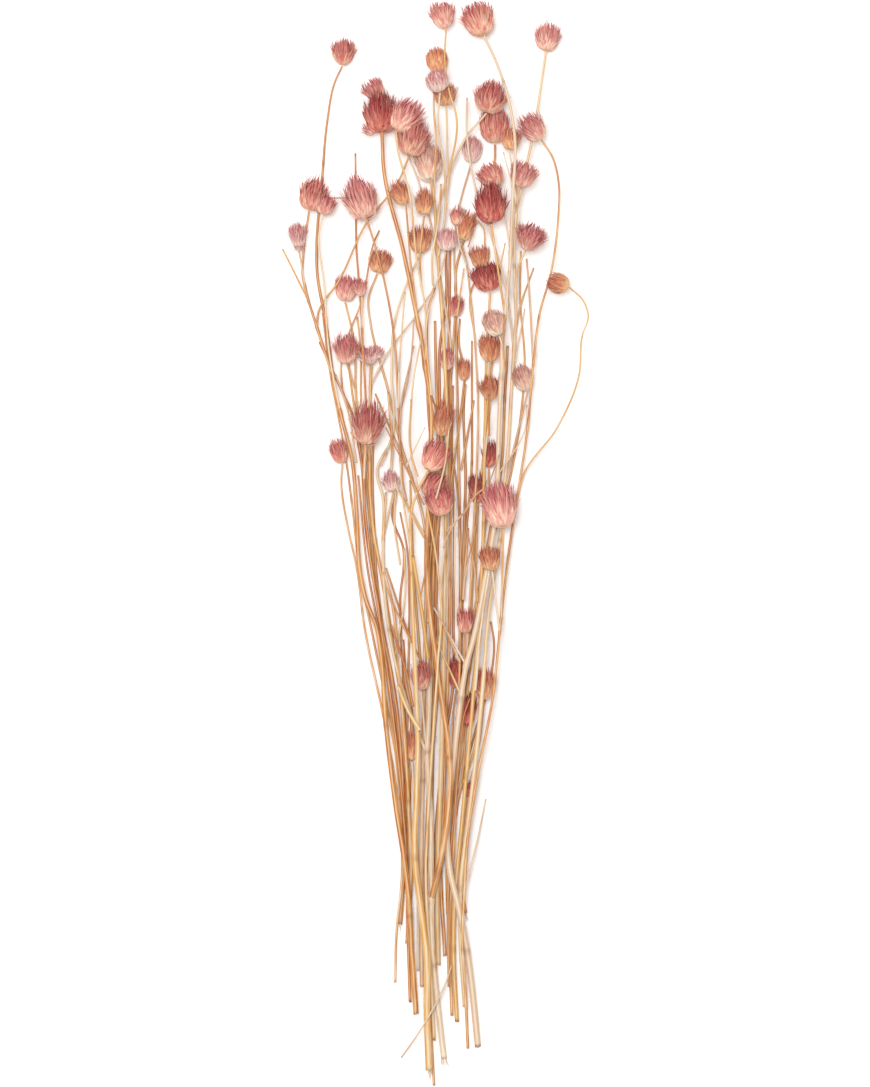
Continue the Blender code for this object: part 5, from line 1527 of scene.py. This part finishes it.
class AMARANTH_OT_stems(bpy.types.Operator):
    """Draws every stem, ridged and swollen at its joints, with its cut end"""

    bl_idname = "amaranth.stems"
    bl_label = "Stems"

    def execute(self, context):
        sizes = context.scene.amaranth_stems
        bunch = laid_bunch()
        profile = stem_profile(sizes.sides, sizes.ridge)
        fibre = fibre_model()
        materials = [straw(sizes), pith()]
        for solid in solids("stem"):
            pieces = []
            for plant in group_of(solid.split("_")[1], STEMS_TOGETHER):
                weather_and_shade = plant_weather_and_shade(plant)
                stems = [
                    (line, i, plant, STEM_WEATHERED.get(line.route.head, weather_and_shade))
                    for i, line in enumerate(bunch.plants[plant])
                ]
                if plant == SHOOTS_WITH:
                    stems += [
                        (bunch.plants[shoot_name(i)][0], i, "shoots", shoot_weather)
                        for i, (_, shoot_weather, _) in enumerate(SHOOTS, 1)
                    ]
                pieces += [self.stem(*stem, bunch.shift, profile, materials, sizes) for stem in stems]
                if plant in FRAYED_ENDS:
                    pieces.append(self.split_end(bunch, plant, weather_and_shade, fibre, materials))
            activate(*pieces)
            bpy.ops.object.join()
            piece = context.object
            piece.name = piece.data.name = solid.replace("stem", "straw")
            bpy.ops.object.shade_smooth_by_angle(angle=STEM_SHARP)
            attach(piece, "root")
            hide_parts(solid)
        bpy.data.objects.remove(profile)
        return {"FINISHED"}

    def stem(self, line, number, plant, weather_and_shade, shift, profile, materials, sizes):
        """One stem of a plant, with the numbers that its straw is coloured by."""
        draw = random.Random(f"{plant} {number}")
        points, radii, spots = course(line)
        ring = np.zeros(len(spots))
        for place in joints_of(line, spots[-1], draw):
            near = np.exp(-(((spots - place) / JOINT_REACH) ** 2))
            radii = radii * (1 + sizes.joint * near)
            ring = np.maximum(ring, near)
        points = points + shift
        points[:, 2] = np.clip(points[:, 2], radii * BEDDED, CAD_BOX[1][2] + SPARE - radii)
        obj = stem_mesh(points, radii, profile)
        corners = 2 * sizes.sides
        for material in materials:
            obj.data.materials.append(material)
        if number == 0:
            run = points[0] - points[1]
            cut_end(obj, corners, Vector(run / np.linalg.norm(run)), radii[0], draw)
        place = corners_of(obj.data)
        near = np.argmin(np.linalg.norm(place[:, None] - points[None], axis=2), axis=1)
        turn = (np.arange(len(place)) % corners) / corners * math.tau
        # A stem is browner towards its thin top, and darker at a cut end and at a bare tip.
        browner = weather_and_shade + draw.uniform(*WEATHER_SPREAD) + TOP_BROWNER * (spots / spots[-1])
        end = np.clip(1 - spots / END_REACH, 0, 1) * (number == 0)
        if line.route.head is None:
            end = np.maximum(end, np.clip(1 - (spots[-1] - spots) / END_REACH, 0, 1))
        darkness = DARK_END_DARKNESS if plant in DARK_ENDS else END_DARKNESS
        facts = np.stack([
            np.clip(browner, *WEATHER_LIMITS), ring, end * darkness, np.full(len(points), draw.random()),
        ], axis=1)[near]
        wide, long = STREAK
        grain = np.stack([
            np.cos(turn) * radii[near] / wide, np.sin(turn) * radii[near] / wide,
            spots[near] / long + PATTERN_SHIFT * draw.random(),
        ], axis=1)
        # Every second corner of a ring lies in a groove, darkened as painted shade. At a cut end there are
        # none.
        # How far up its side a corner lies sets painted shade underneath and a painted highlight on top.
        groove = np.arange(len(place)) % corners % 2 * (end[near] == 0)
        write_straw(obj.data, facts, grain, groove, (place[:, 2] - points[near, 2]) / radii[near])
        return obj

    def split_end(self, bunch, plant, weather_and_shade, fibre, materials):
        """The fibres at a split cut end, as a piece of their own."""
        draw = random.Random(f"split {plant}")
        points, radii, _ = course(bunch.plants[plant][0])
        centre = points[0] + bunch.shift
        centre[2] = max(centre[2], radii[0])
        run = points[0] - points[1]
        run = run / np.linalg.norm(run)
        place, faces = split_fibres(fibre, centre, run, radii[0], FRAYED_ENDS[plant], draw)
        place[:, 2] = np.maximum(place[:, 2], LOWEST)
        obj = new_piece("fibres", place, faces, materials)
        count = len(place)
        facts = np.tile((weather_and_shade, *FIBRE_FACTS), (count, 1))
        write_straw(obj.data, facts, place / FIBRE_STREAK, np.zeros(count), np.full(count, FIBRE_SIDE))
        return obj


def outline(form, angle):
    """A place on a head's outline, at an angle from its crown: how far across and how far up."""
    up = math.cos(angle)
    power = 1 + (form.point if up > 0 else form.wedge)
    rise = form.high + (1 - form.high if up > 0 else 1 + form.high) * up
    return np.array((max(math.sin(angle), 0) ** power, rise))


def bract_guides(form, angle, low, draw):
    """A bract's four guide points, with its tip at an angle from the crown. A low one lies close."""
    root_angle = min(angle + draw.uniform(*ROOT_BELOW), LOWEST_ROOT)
    along = outline(form, angle - TIP_SIDE) - outline(form, angle + TIP_SIDE)
    along /= np.linalg.norm(along)
    lean = form.lean * angle * draw.uniform(*LEAN)
    free = np.array((math.sin(lean), math.cos(lean)))
    run = along * low + free * (1 - low)
    run /= np.linalg.norm(run)
    length = np.linalg.norm(outline(form, angle) - outline(form, root_angle))
    shell = outline(form, angle) * draw.uniform(*TIP_DEPTH)
    tip = shell + run * (form.free * draw.uniform(*TIP_FREE) * (1 - low) + TIP_LEAST)
    belly, out = BELLY
    return [
        outline(form, root_angle) * ROOT_DEPTH,
        outline(form, angle + belly * (root_angle - angle)) * out,
        tip - run * TIP_END * length,
        tip,
    ]


def leafy_guides(draw):
    """A leafy bract's guide points: it starts under the head and spreads out from it."""
    reach, rise = draw.uniform(*LEAFY_REACH), draw.uniform(*LEAFY_RISE)
    across, above = LEAFY_BEND
    bend = (across * reach, rise + above)
    return [np.array(pair) for pair in (*LEAFY_ROOT, bend, (reach, rise))]


def lay_bract(model, guides, turn, width, twist):
    """The model bract, bent along its guide points and turned round the head's axis."""
    t = model[:, 1:2]
    a, b, c, d = guides
    middle = (1 - t) ** 3 * a + 3 * t * (1 - t) ** 2 * b + 3 * t**2 * (1 - t) * c + t**3 * d
    run = 3 * (1 - t) ** 2 * (b - a) + 6 * t * (1 - t) * (c - b) + 3 * t**2 * (d - c)
    run /= np.linalg.norm(run, axis=1)[:, None]
    out = np.stack([run[:, 1], -run[:, 0]], axis=1)
    spin = twist * t[:, 0]
    across = (model[:, 0] * np.cos(spin) - model[:, 2] * np.sin(spin)) * width
    depth = (model[:, 0] * np.sin(spin) + model[:, 2] * np.cos(spin)) * width
    flat = middle + out * depth[:, None]
    return np.stack([
        flat[:, 0] * math.cos(turn) - across * math.sin(turn),
        flat[:, 0] * math.sin(turn) + across * math.cos(turn),
        flat[:, 1],
    ], axis=1)


def axes_of(axis):
    """Three unit directions, the last along a head's axis."""
    axis = axis / np.linalg.norm(axis)
    side = np.cross(axis, (0, 0, 1))
    side /= np.linalg.norm(side)
    return np.stack([side, np.cross(axis, side), axis])


# A head as it is dressed: its name, the form of its outline, its place, size and material slot.
Body = namedtuple("Body", "name form middle axes half radius slot")


class AMARANTH_OT_heads(bpy.types.Operator):
    """Covers every head with papery bracts and silky hairs"""

    bl_idname = "amaranth.heads"
    bl_label = "Heads"

    def execute(self, context):
        sizes = context.scene.amaranth_heads
        bunch = laid_bunch()
        lines = head_lines(bunch.plants)
        models = bract_model(sizes.thickness), core_model(), fibre_model()
        materials = {tone: papery_bract(tone) for tone in TONES}
        hair = silky_hair()
        jobs = [(solid, head_names(solid)) for solid in solids("head")]
        for name in HEADS_ON_STEMS:
            plant = next(stem for stem, routes in STEMS.items() if any(r.head == name for r in routes))
            jobs.append((stem_solid(group_of(plant, STEMS_TOGETHER)), [name]))
        for solid, members in jobs:
            tones = [HEADS[member].tone for member in members]
            tones += [tone for name, _, _, tone in TUFTS if name in members]
            tones = list(dict.fromkeys(tones))
            heap = Heap()
            for member in members:
                for body in self.bodies(lines[member], bunch.shift, tones):
                    self.dress(heap, body, models, len(tones), sizes)
            piece = heap.made("bracts_" + "_".join(members), [*(materials[tone] for tone in tones), hair])
            activate(piece)
            bpy.ops.object.shade_smooth_by_angle(angle=BRACT_SHARP)
            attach(piece, "root")
            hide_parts(solid)
        return {"FINISHED"}

    def bodies(self, line, shift, tones):
        """A head, and the small tufts beside it."""
        name = line.route.head
        base, tip = (np.array((k.x, k.y, k.z)) + shift for k in (line.knots[-1], line.tip))
        form = next((form for form, names in FORM_OF.items() if name in names.split()), "globe")
        middle, half = (base + tip) / 2, np.linalg.norm(tip - base) / 2
        slot = tones.index(HEADS[name].tone)
        found = [Body(name, FORMS[form], middle, axes_of(tip - base), half, line.head_radius, slot)]
        for owner, centre, width, tone in TUFTS:
            if owner == name:
                x, y = placed(centre)
                place = np.array((x + shift[0], y + shift[1], middle[2]))
                axes = axes_of((place - base) * TUFT_FLAT + (tip - base) * TUFT_ALONG)
                size = width * PIXEL / 2
                tuft = Body(name + " tuft", FORMS["burst"], place, axes, size, size, tones.index(tone))
                found.append(tuft)
        return found

    def dress(self, heap, body, models, hair_slot, sizes):
        """Adds a head's core, bracts and hairs to its piece."""
        (corners, faces), (core, core_faces), (fibre, fibre_faces) = models
        draw = random.Random(f"head {body.name}")
        size = np.array((body.radius, body.half))
        lowest = (*(edge - SPARE for edge in CAD_BOX[0][:2]), LOWEST)
        *widest, highest = (edge + SPARE for edge in CAD_BOX[1])

        def put(points, faces, facts, grain, slot=body.slot):
            laid = np.clip(points @ body.axes + body.middle, lowest, (*widest, math.inf))
            over = np.maximum(laid[:, 2] - (highest - GIVE), 0)
            laid[:, 2] -= over - GIVE * (1 - np.exp(-over / GIVE))
            heap.add(laid, faces, facts, grain, slot)

        def put_bract(guides, turn, width, rise=0.0):
            guides = [guide * size for guide in guides]
            laid = lay_bract(corners, guides, turn, width, draw.uniform(*TWIST))
            chance = draw.random()
            same = np.full(len(laid), chance)
            height = (laid[:, 2] / body.half + 1) / 2 + rise
            across = np.abs(corners[:, 0]) * 2
            facts = np.stack([np.clip(height, 0, 1), corners[:, 1], same, across], axis=1)
            # Veins run the length of the bract.
            grain = np.stack([
                corners[:, 0] * width / VEIN, corners[:, 1] * VEIN_RUN, VEIN_SHIFT * same,
            ], axis=1)
            put(laid, faces, facts, grain)

        angles = np.arccos(np.clip(core[:, 2], -1, 1))
        outlines = np.array([outline(body.form, angle) for angle in angles]) * CORE * size
        turns = np.arctan2(core[:, 1], core[:, 0])
        points = np.stack(
            [outlines[:, 0] * np.cos(turns), outlines[:, 0] * np.sin(turns), outlines[:, 1]], axis=1
        )
        rise = (points[:, 2] / body.half + 1) / 2
        nought = np.zeros(len(points))
        # With a blade of nought, the core takes the painted shade of the bract roots wherever it lies high
        # enough.
        facts = np.stack([rise, nought, nought + CORE_CHANCE, nought], axis=1)
        put(points, core_faces, facts, points / CORE_GRAIN)

        share = body.radius / FULL_HEAD
        count = round(max(FEWEST_BRACTS, sizes.most_bracts * share**MORE_BRACTS))
        roll = draw.uniform(0, math.tau)
        for i in range(count):
            angle = math.acos(CROWN - COVERED * (i + 0.5) / count)
            low = min(max((angle - CLOSE_FROM) / CLOSE_OVER, 0), 1)
            width = body.radius * (sizes.slender + (sizes.broad - sizes.slender) * low)
            width *= draw.uniform(*WIDTH_ODDS)
            width *= share**BROADER
            # Each bract stands a golden angle round from the last.
            turn = roll + i * math.pi * (3 - math.sqrt(5)) + draw.uniform(*TURN_ODDS)
            put_bract(bract_guides(body.form, angle, low, draw), turn, width)
        leafy = LEAFY_BRACTS.get(body.name, 0)
        for i in range(leafy):
            turn = roll + math.tau * (i + draw.uniform(*LEAFY_ODDS)) / leafy
            put_bract(leafy_guides(draw), turn, body.radius * draw.uniform(*LEAFY_WIDTH), LEAFY_TINT)
        for _ in range(round(sizes.hairs * share)):
            angle = draw.uniform(*HAIR_ANGLES)
            guides = [guide * size for guide in bract_guides(body.form, angle, 0, draw)]
            laid = lay_bract(fibre, guides, draw.uniform(0, math.tau), sizes.hair_width, 0)
            # The hair's material reads the third number alone.
            facts = np.tile((0.5, 0.5, draw.random(), 0), (len(laid), 1))
            put(laid, fibre_faces, facts, fibre, hair_slot)


class AMARANTH_OT_stage(bpy.types.Operator):
    """Sets the plain floor, the soft light and the camera that looks down on the bunch"""

    bl_idname = "amaranth.stage"
    bl_label = "Stage"

    def execute(self, context):
        sizes = context.scene.amaranth_stage
        deselect()
        bpy.ops.mesh.primitive_plane_add(size=FLOOR_SIZE, location=(0, 0, 0))
        floor = context.object
        floor.name = floor.data.name = "floor"
        material, _ = new_material("painted_floor")
        finish_material(material, sizes.floor, Roughness=0.9, Specular_IOR_Level=0.1)
        floor.data.materials.append(material)

        world = bpy.data.worlds.new("soft_daylight")
        world.use_nodes = True
        back = world.node_tree.nodes["Background"]
        back.inputs["Color"].default_value = (*sizes.sky, 1)
        back.inputs["Strength"].default_value = sizes.daylight
        context.scene.world = world
        for place, power, size in LAMPS:
            bpy.ops.object.light_add(type="AREA", location=place)
            lamp = context.object
            lamp.data.energy = sizes.lamp * power
            lamp.data.size = size
            lamp.rotation_euler = (-Vector(place)).to_track_quat("-Z", "Y").to_euler()

        bpy.ops.object.camera_add(location=(*self.frame_middle(), CAMERA_HEIGHT), rotation=(0, 0, 0))
        camera = context.object
        camera.data.sensor_fit = "VERTICAL"
        camera.data.sensor_height = SENSOR
        camera.data.lens = SENSOR * (CAMERA_HEIGHT - TRUE_HEIGHT) / (FRAME_PIXELS[1] * PIXEL)
        camera.data.clip_end = 20
        context.scene.camera = camera
        context.scene.view_settings.view_transform = "Standard"
        return {"FINISHED"}

    def frame_middle(self):
        """The place under the middle of the photograph's frame."""
        x, y = placed((FRAME_PIXELS[0] / 2, FRAME_PIXELS[1] / 2))
        shift = laid_bunch().shift
        return x + float(shift[0]), y + float(shift[1])


class AMARANTH_PT_panel(bpy.types.Panel):
    """Sizes, colours and steps of the bunch"""

    bl_label = "Dried globe amaranth"
    bl_idname = "AMARANTH_PT_panel"
    bl_space_type = "VIEW_3D"
    bl_region_type = "UI"
    bl_category = "Amaranth"

    def draw(self, context):
        for title in ("Stems", "Heads", "Stage"):
            sizes = getattr(context.scene, "amaranth_" + title.lower())
            box = self.layout.box()
            box.label(text=title)
            for name in sizes.bl_rna.properties.keys():
                if name not in ("name", "rna_type"):
                    box.prop(sizes, name)
            box.operator("amaranth." + title.lower())


GROUPS = {
    "amaranth_stems": AmaranthStems,
    "amaranth_heads": AmaranthHeads,
    "amaranth_stage": AmaranthStage,
}
CLASSES = (*GROUPS.values(), AMARANTH_OT_stems, AMARANTH_OT_heads, AMARANTH_OT_stage, AMARANTH_PT_panel)


def register():
    for made in CLASSES:
        bpy.utils.register_class(made)
    for name, group in GROUPS.items():
        setattr(bpy.types.Scene, name, bpy.props.PointerProperty(type=group))


def unregister():
    for name in GROUPS:
        delattr(bpy.types.Scene, name)
    for made in reversed(CLASSES):
        bpy.utils.unregister_class(made)


def main():
    register()
    bpy.ops.amaranth.stems()
    bpy.ops.amaranth.heads()
    bpy.ops.amaranth.stage()
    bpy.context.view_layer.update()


if __name__ == "__main__":
    main()
